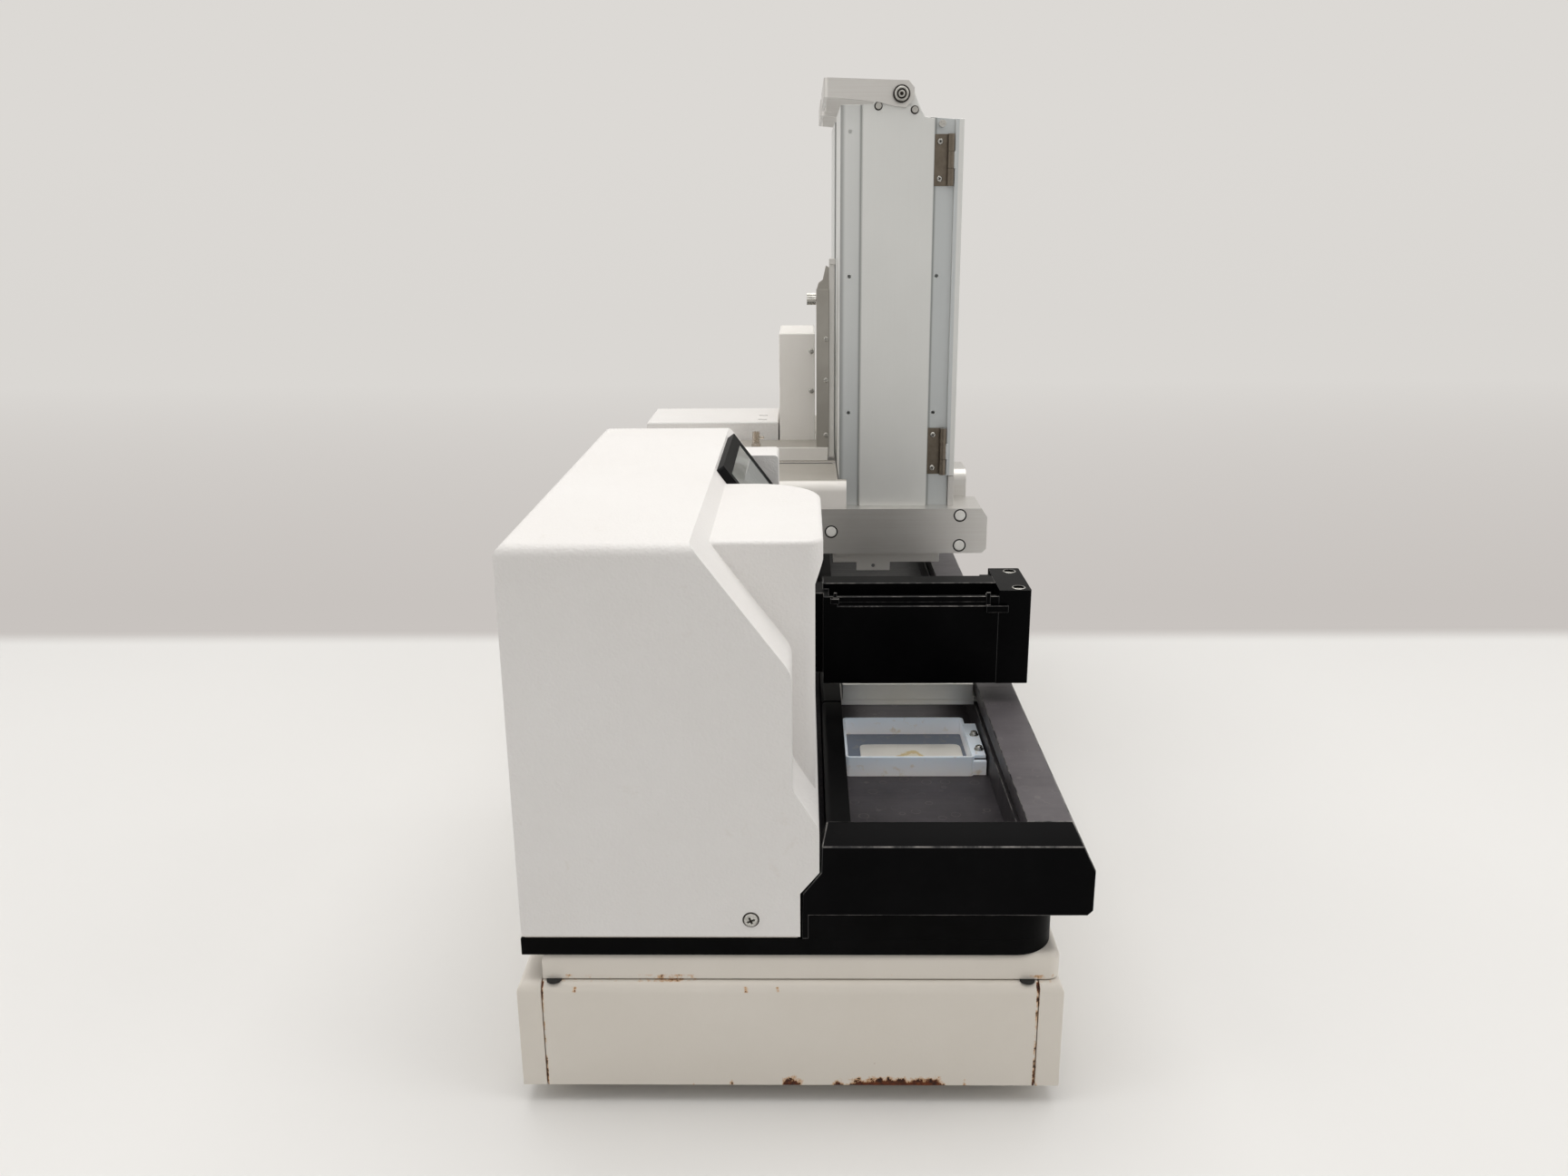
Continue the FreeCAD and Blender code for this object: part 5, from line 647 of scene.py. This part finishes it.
round_parts("mast_and_box_screws", mast_spots + box_spots, (-1, 0, 0), small_head, plated_steel, "body",
            "steel", ("cross", 0.38, 1.5, 1.2))
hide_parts("case_screws")
dirt_ring = [(4.1, 0.2), (4.5, 0.2), (4.9, 0.05), (4.9, 0), (4.1, 0)]
round_parts("housing_screw_seats", near_spot, (-1, 0, 0), dirt_ring, grime, "body", "steel")
washered = [(0, 3.25), (1.5, 3.2), (2.2, 2.85), (2.5, 2.3), (2.5, 0.85), (3.2, 0.8), (3.3, 0.6), (3.3, 0),
            (0, 0)]
flange_spots = [here(along, 293.4, 151.5) for along in (180, 206)]
flange = round_parts("trough_flange_screws", flange_spots, (0, 0, 1), washered, plated_steel, "body", "steel",
                     ("cross", 0.40, 1.5, 1.3), grime)
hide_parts("trough_screws")
sunk = [(0, 12.2), (2.9, 12.2), (3.2, 12.05), (3.4, 11.6), (3.4, 0), (0, 0)]
seats, rims = ([here(along, 322.0, up) for along in (212.5, 254.8)] for up in (248.3, 261.2))
ends = round_parts("end_block_screws", seats, (0, 0, 1), sunk, plated_steel, "arm", "steel",
                   ("hexagon", 1.55, 0, 2.4), grime)
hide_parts("arm_screws")
bore_rim = [(3.95, 0.35), (4.5, 0.35), (4.8, 0.1), (4.8, 0), (3.95, 0)]
round_parts("end_block_screw_rims", rims, (0, 0, 1), bore_rim, plated_steel, "arm", "steel")
fitted("mast_knob", plated_steel, edge=0.0003)

# Dispensing arm
# A beam with a channel for the tip bar, screwed to its end block, both machined from aluminium and anodised
# black. The beam slides on an upright guide of steel.

for node in ("arm_beam", "arm_end_block"):
    fitted(node, black_anodised, edge=0.0006, steps=3, worn_highlit_edge=edge_wear_and_highlight)
fitted("arm_clips", black_anodised, edge=0.0004, worn_highlit_edge=edge_wear_and_highlight)
for node in ("lift_guide", "tip_bar"):
    fitted(node, brushed_steel, edge=0.0002)

# Stacker casing and column
# The casing under the far half of the track, in the same folded and powder-coated steel as the cabinet, and
# the column behind the track that carries the deck.

def enamel(name, lump, light, dark, smooth):
    """Baked enamel: a satin skin that goes between two colours in lumps of a size in metres, less rough where
    it is light, with an orange peel really about 0.8 mm across, drawn at 2 mm so that it shows."""
    material, tree, shader, place = begin(name, IOR=1.5)
    cloud = add(tree, "TexNoise", {"Vector": place, "Scale": 1 / lump, "Detail": 6.0,
                                   "Roughness": 0.6}).outputs[0]
    tone = add(tree, "Mix", {0: cloud, 6: linear(light), 7: linear(dark)}, data_type="RGBA").outputs[2]
    peel = add(tree, "TexNoise", {"Vector": place, "Scale": 1 / 0.002, "Detail": 2.0}).outputs[0]
    dress(tree, shader, tone, (cloud, smooth, 0.5), (peel, 0.1, 0.0003))
    return material, tree, shader, place, cloud, tone


# Light grey enamel on sheet metal: even, satin, slightly soiled.
grey_enamel = enamel("light_grey_enamel", 0.08, "d9d7d3", "cdcac5", 0.36)[0]

fitted("stacker_base", cream_coat, edge=0.0008, steps=3)
for node in ("stacker_column", "gripper_a", "gripper_b"):
    fitted(node, grey_enamel, edge=0.0005)

# Deck
# The deck plate, its folded end cover and the tower stops are satin aluminium, with white caps over the
# cover's screws. On the column stand the enamelled casings and cross beam, a tall enamelled box and a low
# painted one.

# Brushed and clear anodised aluminium: silver with long fine brush lines and a slightly cloudy sheen.
brushed_aluminium, tree, shader, place = begin("brushed_clear_anodised_aluminium", Metallic=1.0)
across = add(tree, "Mapping", {"Vector": place, "Scale": (1 / 0.0012, 1 / 0.07, 1 / 0.0012)}).outputs[0]
brush = add(tree, "TexNoise", {"Vector": across, "Scale": 1.0, "Detail": 5.0, "Roughness": 0.6}).outputs[0]
cloud = add(tree, "TexNoise", {"Vector": place, "Scale": 1 / 0.05, "Detail": 5.0}).outputs[0]
tone = add(tree, "Mix", {0: cloud, 6: linear("d8d6d3"), 7: linear("c9c6c2")}, data_type="RGBA").outputs[2]
streak = add(tree, "MapRange", {"Value": brush, "From Min": 0.3, "From Max": 0.7, "To Max": 0.35}).outputs[0]
tone = add(tree, "Mix", {0: streak, 6: tone, 7: linear("dfe0de")}, data_type="RGBA").outputs[2]
dress(tree, shader, tone, (brush, 0.36, 0.46), (brush, 0.04, 0.0002))

# White enamel on the tall box: satin, with the faint waviness of baked paint.
white_enamel = enamel("baked_white_enamel", 0.07, "f8f5f0", "efebe5", 0.34)[0]

for node in ("deck_cover", "deck_plate", "tower_stops"):
    fitted(node, brushed_aluminium, edge=0.0006)

# White plastic caps: smooth glossy mouldings, slightly yellowed.
white_cap, tree, shader, place = begin("white_nylon_cap", IOR=1.5)
tone = add(tree, "TexNoise", {"Vector": place, "Scale": 1 / 0.004, "Detail": 3.0}).outputs[0]
white = add(tree, "Mix", {0: tone, 6: linear("f0efec"), 7: linear("dedcd6")}, data_type="RGBA").outputs[2]
dress(tree, shader, white, (tone, 0.25, 0.4))
plug_spots = [here(476, r, z) for r, z in ((195.4, 237.9), (312.4, 252.6), (312.4, 224.6))]
plug_head = [(0, 3.3), (4.2, 3.25), (4.7, 2.9), (4.85, 2.4), (4.85, 0), (0, 0)]
plugs = round_parts("cover_caps", plug_spots, (-1, 0, 0), plug_head, white_cap, "body", "white_moulding")
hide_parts("cover_plugs")
# The black rings round the caps are painted shadow: a dark ring put in the gap round each cap.
shadow_ring_profile = [(4.8, 3.05), (5.95, 3.15), (5.95, 3.0), (5.5, 3.0), (5.5, 0), (4.8, 0)]
round_parts("cap_painted_shadow_rings", plug_spots, (-1, 0, 0), shadow_ring_profile, black_rubber, "body", "rubber")

# White enamel with its top faces painted a darker grey, a painted dim reflection: all along the beam, and on
# the front part of the caps.
enamel_painted_dark_tops, tree, shader, place, cloud, tone = enamel("white_enamel_painted_dark_tops", 0.05, "efece7", "e4e0da",
                                                         0.34)
xyz = add(tree, "SeparateXYZ", {0: place}).outputs
dark_top_tone = add(tree, "Mix", {0: cloud, 6: linear("a9a49b"), 7: linear("9a958d")}, data_type="RGBA").outputs[2]
upright = add(tree, "SeparateXYZ", {0: add(tree, "TexCoord").outputs["Normal"]}).outputs[2]
# Painted reflection: faces that look up are painted a darker grey.
top = add(tree, "MapRange", {"Value": upright, "From Min": 0.88, "From Max": 0.97}).outputs[0]
front = add(tree, "MapRange", {"Value": xyz[1], "From Min": 0.0300, "From Max": 0.0220}).outputs[0]
beam = add(tree, "MapRange", {"Value": xyz[2], "From Min": 0.2860, "From Max": 0.2870}).outputs[0]
front = add(tree, "Math", {0: front, 1: beam}, operation="MAXIMUM").outputs[0]
dust_and_painted_dark_tops = add(tree, "Math", {0: top, 1: front}, operation="MULTIPLY").outputs[0]
tone = add(tree, "Mix", {0: dust_and_painted_dark_tops, 6: tone, 7: dark_top_tone}, data_type="RGBA").outputs[2]
tree.links.new(tone, shader.inputs["Base Color"])

for node in ("column_caps", "cross_beam"):
    fitted(node, enamel_painted_dark_tops, edge=0.0006)
fitted("tall_box", white_enamel, edge=0.0006)
fitted("low_box", pebbled_paint, edge=0.0006)

# The seal lies in the gap between the column's casings: level along the top, a quarter of a circle, then
# down.
seal_along, seal_bend, bend_forward, bend_up = 563.0, 3.2, 197, 280
quarter = np.linspace(0, np.pi / 2, 9)
route = [(forward, bend_up + seal_bend) for forward in np.linspace(21, bend_forward, 24)]
route += list(zip(bend_forward + seal_bend * np.sin(quarter), bend_up + seal_bend * np.cos(quarter)))
route += [(bend_forward + seal_bend, up) for up in np.linspace(279, 259.6, 8)]
seal = grid_piece("column_cap_seal", strip(route, seal_along, 2.9, 1.8), black_rubber, round_v=True)
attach(seal, "body")

# Mast
# The square metal bar behind the towers, with its thumb screw, the light grey strip in front of it and a
# clear tube fitting beside it.

fitted("mast", brushed_steel, edge=0.0004)
fitted("guide_strip", grey_enamel, edge=0.0003)

# Clear acrylic: glass-like with a faint haze.
clear_acrylic, tree, shader, place = begin("clear_acrylic", IOR=1.49, Transmission_Weight=0.9)
haze = add(tree, "TexNoise", {"Vector": place, "Scale": 1 / 0.004, "Detail": 3.0}).outputs[0]
tone = add(tree, "Mix", {0: haze, 6: linear("efe8de"), 7: linear("d6cabb")}, data_type="RGBA").outputs[2]
dress(tree, shader, tone, (haze, 0.05, 0.2))
fitted("clear_fitting", clear_acrylic, edge=0.0003)

# Towers
# Lift-off plate magazines folded from aluminium sheet and clear anodised, with a raised end panel, a hinged
# door on the front, dark steel hinges and a bright bail handle over the top.

# Satin anodised sheet: pale silver-grey, very even, with faint vertical drawing lines. The recessed strips
# beside the raised end panels are painted greyer for their shade, the rear one more so lower down, and
# painted shade lines run along their edges.
satin_sheet, tree, shader, place = begin("satin_anodised_sheet", Metallic=0.9)
upright = add(tree, "Mapping", {"Vector": place, "Scale": (1 / 0.0016, 1 / 0.0016, 1 / 0.12)}).outputs[0]
drawn = add(tree, "TexNoise", {"Vector": upright, "Scale": 1.0, "Detail": 4.0}).outputs[0]
cloud = add(tree, "TexNoise", {"Vector": place, "Scale": 1 / 0.08, "Detail": 5.0}).outputs[0]
tone = add(tree, "Mix", {0: cloud, 6: linear("e2e3e1"), 7: linear("d9dad8")}, data_type="RGBA").outputs[2]
xyz = add(tree, "SeparateXYZ", {0: place}).outputs
facing = add(tree, "SeparateXYZ", {0: add(tree, "TexCoord").outputs["Normal"]}).outputs[0]
endwise = add(tree, "Math", {0: facing}, operation="ABSOLUTE").outputs[0]
endwise = add(tree, "MapRange", {"Value": endwise, "From Min": 0.6, "From Max": 0.8}).outputs[0]
# Painted shade: the recessed strips are painted greyer, the rear one more so lower down.
rear_strip = band(tree, xyz[1], -0.0518, -0.0330, 0.0006)
front_strip = band(tree, xyz[1], -0.1340, -0.1144, 0.0006)
lower = add(tree, "MapRange", {"Value": xyz[2], "From Min": 0.30, "From Max": 0.58, "To Min": 0.9,
                               "To Max": 0.25}).outputs[0]
rear_strip = add(tree, "Math", {0: rear_strip, 1: lower}, operation="MULTIPLY").outputs[0]
strip_shade = add(tree, "Math", {0: rear_strip, 1: front_strip}, operation="ADD").outputs[0]
strip_shade = add(tree, "Math", {0: strip_shade, 1: endwise}, operation="MULTIPLY").outputs[0]
tone = add(tree, "Mix", {0: strip_shade, 6: tone, 7: linear("c6cacb")}, data_type="RGBA").outputs[2]
# Painted shade: dark lines along the edges of the recessed strips.
rear_line = band(tree, xyz[1], -0.0521, -0.0515, 0.0016)
front_line = band(tree, xyz[1], -0.1149, -0.1143, 0.0016)
rear_rim = band(tree, xyz[1], -0.0350, -0.0330, 0.0040)
crease_shade = add(tree, "Math", {0: rear_line, 1: front_line}, operation="MAXIMUM").outputs[0]
crease_shade = add(tree, "Math", {0: crease_shade, 1: rear_rim}, operation="MAXIMUM").outputs[0]
crease_shade = add(tree, "Math", {0: crease_shade, 1: endwise}, operation="MULTIPLY").outputs[0]
crease_shade = add(tree, "Math", {0: crease_shade, 1: 0.55}, operation="MULTIPLY").outputs[0]
tone = add(tree, "Mix", {0: crease_shade, 6: tone, 7: linear("6f716f")}, data_type="RGBA").outputs[2]
dress(tree, shader, tone, (drawn, 0.42, 0.56), (drawn, 0.08, 0.0002))

# Dark nickel-plated steel: brownish grey and half glossy, for the hinges, their pins and the door's peg.
dark_steel, tree, shader, place = begin("dark_nickel_plated_steel", Metallic=1.0)
cloud = add(tree, "TexNoise", {"Vector": place, "Scale": 1 / 0.006, "Detail": 6.0,
                               "Roughness": 0.7}).outputs[0]
tone = add(tree, "Mix", {0: cloud, 6: linear("857c70"), 7: linear("5c544a")}, data_type="RGBA").outputs[2]
dress(tree, shader, tone, (cloud, 0.28, 0.5), (cloud, 0.12, 0.0003))

hinge_head = [(0, 1.1), (1.3, 1.06), (2.0, 0.85), (2.4, 0.45), (2.45, 0), (0, 0)]
pivot_washer = [(0, 0.3), (6.6, 0.3), (7.2, -0.1), (7.2, -1.2), (0, -1.2)]
pivot_ring = [(3.9, 0.3), (4.2, 0.95), (5.1, 1.05), (5.8, 0.7), (6.0, 0.3), (6.0, 0.1), (3.9, 0.1)]
pivot_screw = [(0, 1.3), (2.1, 1.3), (2.7, 1.05), (2.9, 0.6), (2.9, 0.2), (0, 0.2)]
# Blackened steel: a thin oxide skin, nearly black and half matt, for the washers under the pivots, and for
# the rings behind the stop pins, which are painted shadow round the pins.
blackened_steel_and_painted_shadow, tree, shader, place = begin("blackened_steel_and_painted_shadow", Metallic=0.8, Roughness=0.4)
cloud = add(tree, "TexNoise", {"Vector": place, "Scale": 1 / 0.003, "Detail": 5.0}).outputs[0]
tone = add(tree, "Mix", {0: cloud, 6: linear("3c3935"), 7: linear("24211f")}, data_type="RGBA").outputs[2]
tree.links.new(tone, shader.inputs["Base Color"])

stop_shadow_ring_profile = [(2.4, 0.4), (3.3, 0.4), (3.5, 0.2), (3.5, 0), (2.4, 0)]
tower_length, pivot_out, stop_out = 135.96, 10.8, 4.0
hinge_out, hinge_levels = 2.2, (294, 324, 544, 574)
lip_front, pivots_from = -0.1309, 0.583
for side, start in (("a", 490.0), ("b", 688.0)):
    end = start + tower_length
    axis_side = here(start - 1.0, 0, 0)[0]
    fitted("tower_" + side, satin_sheet, edge=0.0006)
    fitted("tower_door_" + side, satin_sheet, edge=0.0006,
                   other=(dark_steel, lambda middle: middle.x < axis_side and middle.y > lip_front))
    fitted("tower_fittings_" + side, dark_steel, edge=0.0003,
                   other=(plated_steel, lambda middle: middle.z > pivots_from))
    fitted("tower_bail_" + side, brushed_aluminium, edge=0.0)
    hinge_spots = [here(start - hinge_out, 287.3, up) for up in hinge_levels]
    round_parts("hinge_screws_" + side, hinge_spots, (-1, 0, 0), hinge_head, plated_steel, "tower_" + side,
                "steel", ("cross", 0.36, 1.4, 0.55), grime)
    for face, way, end_name in ((start - pivot_out, -1, "near"), (end + pivot_out, 1, "far")):
        pivot = [here(face, 253.2, 611.5)]
        round_parts(end_name + "_pivot_washer_" + side, pivot, (way, 0, 0), pivot_washer, blackened_steel_and_painted_shadow,
                    "tower_" + side, "steel")
        round_parts(end_name + "_pivot_ring_" + side, pivot, (way, 0, 0), pivot_ring, plated_steel,
                    "tower_" + side, "steel")
        round_parts(end_name + "_pivot_screw_" + side, pivot, (way, 0, 0), pivot_screw, plated_steel,
                    "tower_" + side, "steel", ("hexagon", 1.4, 0, 0.9), grime)
    # Behind each stop pin a dark ring is painted shadow round the pin.
    for face, way, end_name in ((start - stop_out, -1, "near"), (end + stop_out, 1, "far")):
        stops = [here(face, 234.3, 602.4), here(face, 264.9, 599.2)]
        round_parts(end_name + "_stop_painted_shadow_rings_" + side, stops, (way, 0, 0), stop_shadow_ring_profile, blackened_steel_and_painted_shadow,
                    "tower_" + side, "steel")

# Floor
# A plain pale bench top, level and without marks, in front of a pale wall. Its edge is so far off that only
# the change of colour behind the stacker is seen.

# Matt laminate: pale and even, with a slow change of tone. Past the stacker the camera sees it in the wall's
# colour.
bench, tree, shader, place = begin("plain_pale_bench", IOR=1.45, Roughness=0.75)
away = add(tree, "SeparateXYZ", {0: place}).outputs[0]
far = add(tree, "MapRange", {"Value": away, "From Min": 0.41, "From Max": 0.47},
          interpolation_type="SMOOTHSTEP").outputs[0]
tone = add(tree, "TexNoise", {"Vector": place, "Scale": 1 / 0.4, "Detail": 3.0}).outputs[0]
pale = add(tree, "Mix", {0: tone, 6: linear("e8e7e5"), 7: linear("e5e4e2")}, data_type="RGBA").outputs[2]
tree.links.new(pale, shader.inputs["Base Color"])
beyond = add(tree, "MapRange", {"Value": away, "From Min": 0.6, "From Max": 3.0}).outputs[0]
wall_tone = add(tree, "Mix", {0: beyond, 6: linear("c8c3bf"), 7: linear("dad7d3")},
                data_type="RGBA").outputs[2]
wall = add(tree, "Emission", {"Color": wall_tone, "Strength": 1.0}).outputs[0]
seen = add(tree, "LightPath").outputs["Is Camera Ray"]
share = add(tree, "Math", {0: far, 1: seen}, operation="MULTIPLY").outputs[0]
blend = add(tree, "MixShader", {0: share, 1: shader.outputs[0], 2: wall}).outputs[0]
tree.links.new(blend, tree.nodes["Material Output"].inputs["Surface"])


def disc(radius, rings=12, around=96, sunk=0.0002):
    """Rings of points from the middle out to the radius, level and a hair under the feet."""
    reach = np.linspace(0, radius, rings)
    turn = np.linspace(0, 2 * np.pi, around, endpoint=False)
    return np.stack([np.outer(reach, np.cos(turn)), np.outer(reach, np.sin(turn)),
                     np.zeros((rings, around)) - sunk], -1)


floor = grid_piece("bench_top", disc(6.0), bench, round_v=True)

# Light and camera
# A large soft lamp overhead, a weaker one in front and one behind, and an even pale surround, as in a white
# room. The camera stands where the photograph was taken from.

world = bpy.data.worlds.new("pale_room")
bpy.context.scene.world = world
world.use_nodes = True
tree = world.node_tree
tree.nodes.clear()
room = add(tree, "Background", {"Color": linear("fbfaf9"), "Strength": 0.47}).outputs[0]
view = add(tree, "TexCoord").outputs["Generated"]
rise = add(tree, "SeparateXYZ", {0: view}).outputs[2]
lift = add(tree, "MapRange", {"Value": rise, "From Min": -0.30, "From Max": 0.05}).outputs[0]
wall_tone = add(tree, "Mix", {0: lift, 6: linear("d6d3cf"), 7: linear("dcd9d5")}, data_type="RGBA").outputs[2]
seen_wall = add(tree, "Background", {"Color": wall_tone, "Strength": 1.0}).outputs[0]
path = add(tree, "LightPath").outputs
seen = add(tree, "Math", {0: path["Is Camera Ray"], 1: path["Is Glossy Ray"]}, operation="MAXIMUM").outputs[0]
seen = add(tree, "Math", {0: seen, 1: path["Is Transmission Ray"]}, operation="MAXIMUM").outputs[0]
mixed = add(tree, "MixShader", {0: seen, 1: room, 2: seen_wall}).outputs[0]
add(tree, "OutputWorld", {"Surface": mixed})


def lamp(name, place, target, size, power):
    """A square lamp of the given side, turned to a point."""
    light = bpy.data.lights.new(name, "AREA")
    light.shape = "SQUARE"
    light.size = size
    light.energy = power
    light.color = linear("fffdfa")[:3]
    holder = bpy.data.objects.new(name, light)
    bpy.context.scene.collection.objects.link(holder)
    way = Vector(target) - Vector(place)
    holder.location = place
    holder.rotation_mode = "QUATERNION"
    holder.rotation_quaternion = way.to_track_quat("-Z", "Y")


lamp("overhead_softbox", (0.1, 0.0, 2.6), (0.0, 0.0, 0.0), 2.6, 44.0)
lamp("front_softbox", (-0.6, -3.0, 2.2), (0.0, 0.0, 0.2), 2.4, 26.0)
lamp("rear_softbox", (-0.6, 3.0, 2.2), (0.0, 0.0, 0.2), 2.4, 20.0)

# The photograph's camera: a lens of 1378 pixels' focal length on a frame of 1728, looking down by 16.4
# degrees.
pitch, roll, yaw = (math.radians(a) for a in (16.44, -0.47, 0.95))
focal_pixels, photo_width = 1378.2, 1728
stand = (-1.07698, -0.00178, 0.5121)
turn_yaw = np.array([[math.cos(yaw), 0, math.sin(yaw)], [0, 1, 0], [-math.sin(yaw), 0, math.cos(yaw)]])
turn_pitch = np.array([[1, 0, 0], [0, math.cos(pitch), -math.sin(pitch)],
                       [0, math.sin(pitch), math.cos(pitch)]])
turn_roll = np.array([[math.cos(roll), -math.sin(roll), 0], [math.sin(roll), math.cos(roll), 0], [0, 0, 1]])
turned = turn_roll @ turn_pitch @ turn_yaw
right, down, ahead = (np.array([row[2], -row[0], -row[1]]) for row in turned)
lens = bpy.data.cameras.new("photo_camera")
lens.sensor_width = 36.0
lens.lens = lens.sensor_width * focal_pixels / photo_width
lens.clip_start = 0.01
lens.clip_end = 50.0
camera = bpy.data.objects.new("photo_camera", lens)
bpy.context.scene.collection.objects.link(camera)
rows = [[right[i], -down[i], -ahead[i], stand[i]] for i in range(3)]
camera.matrix_world = Matrix(rows + [[0, 0, 0, 1]])
bpy.context.scene.camera = camera
bpy.context.scene.view_settings.view_transform = "Standard"
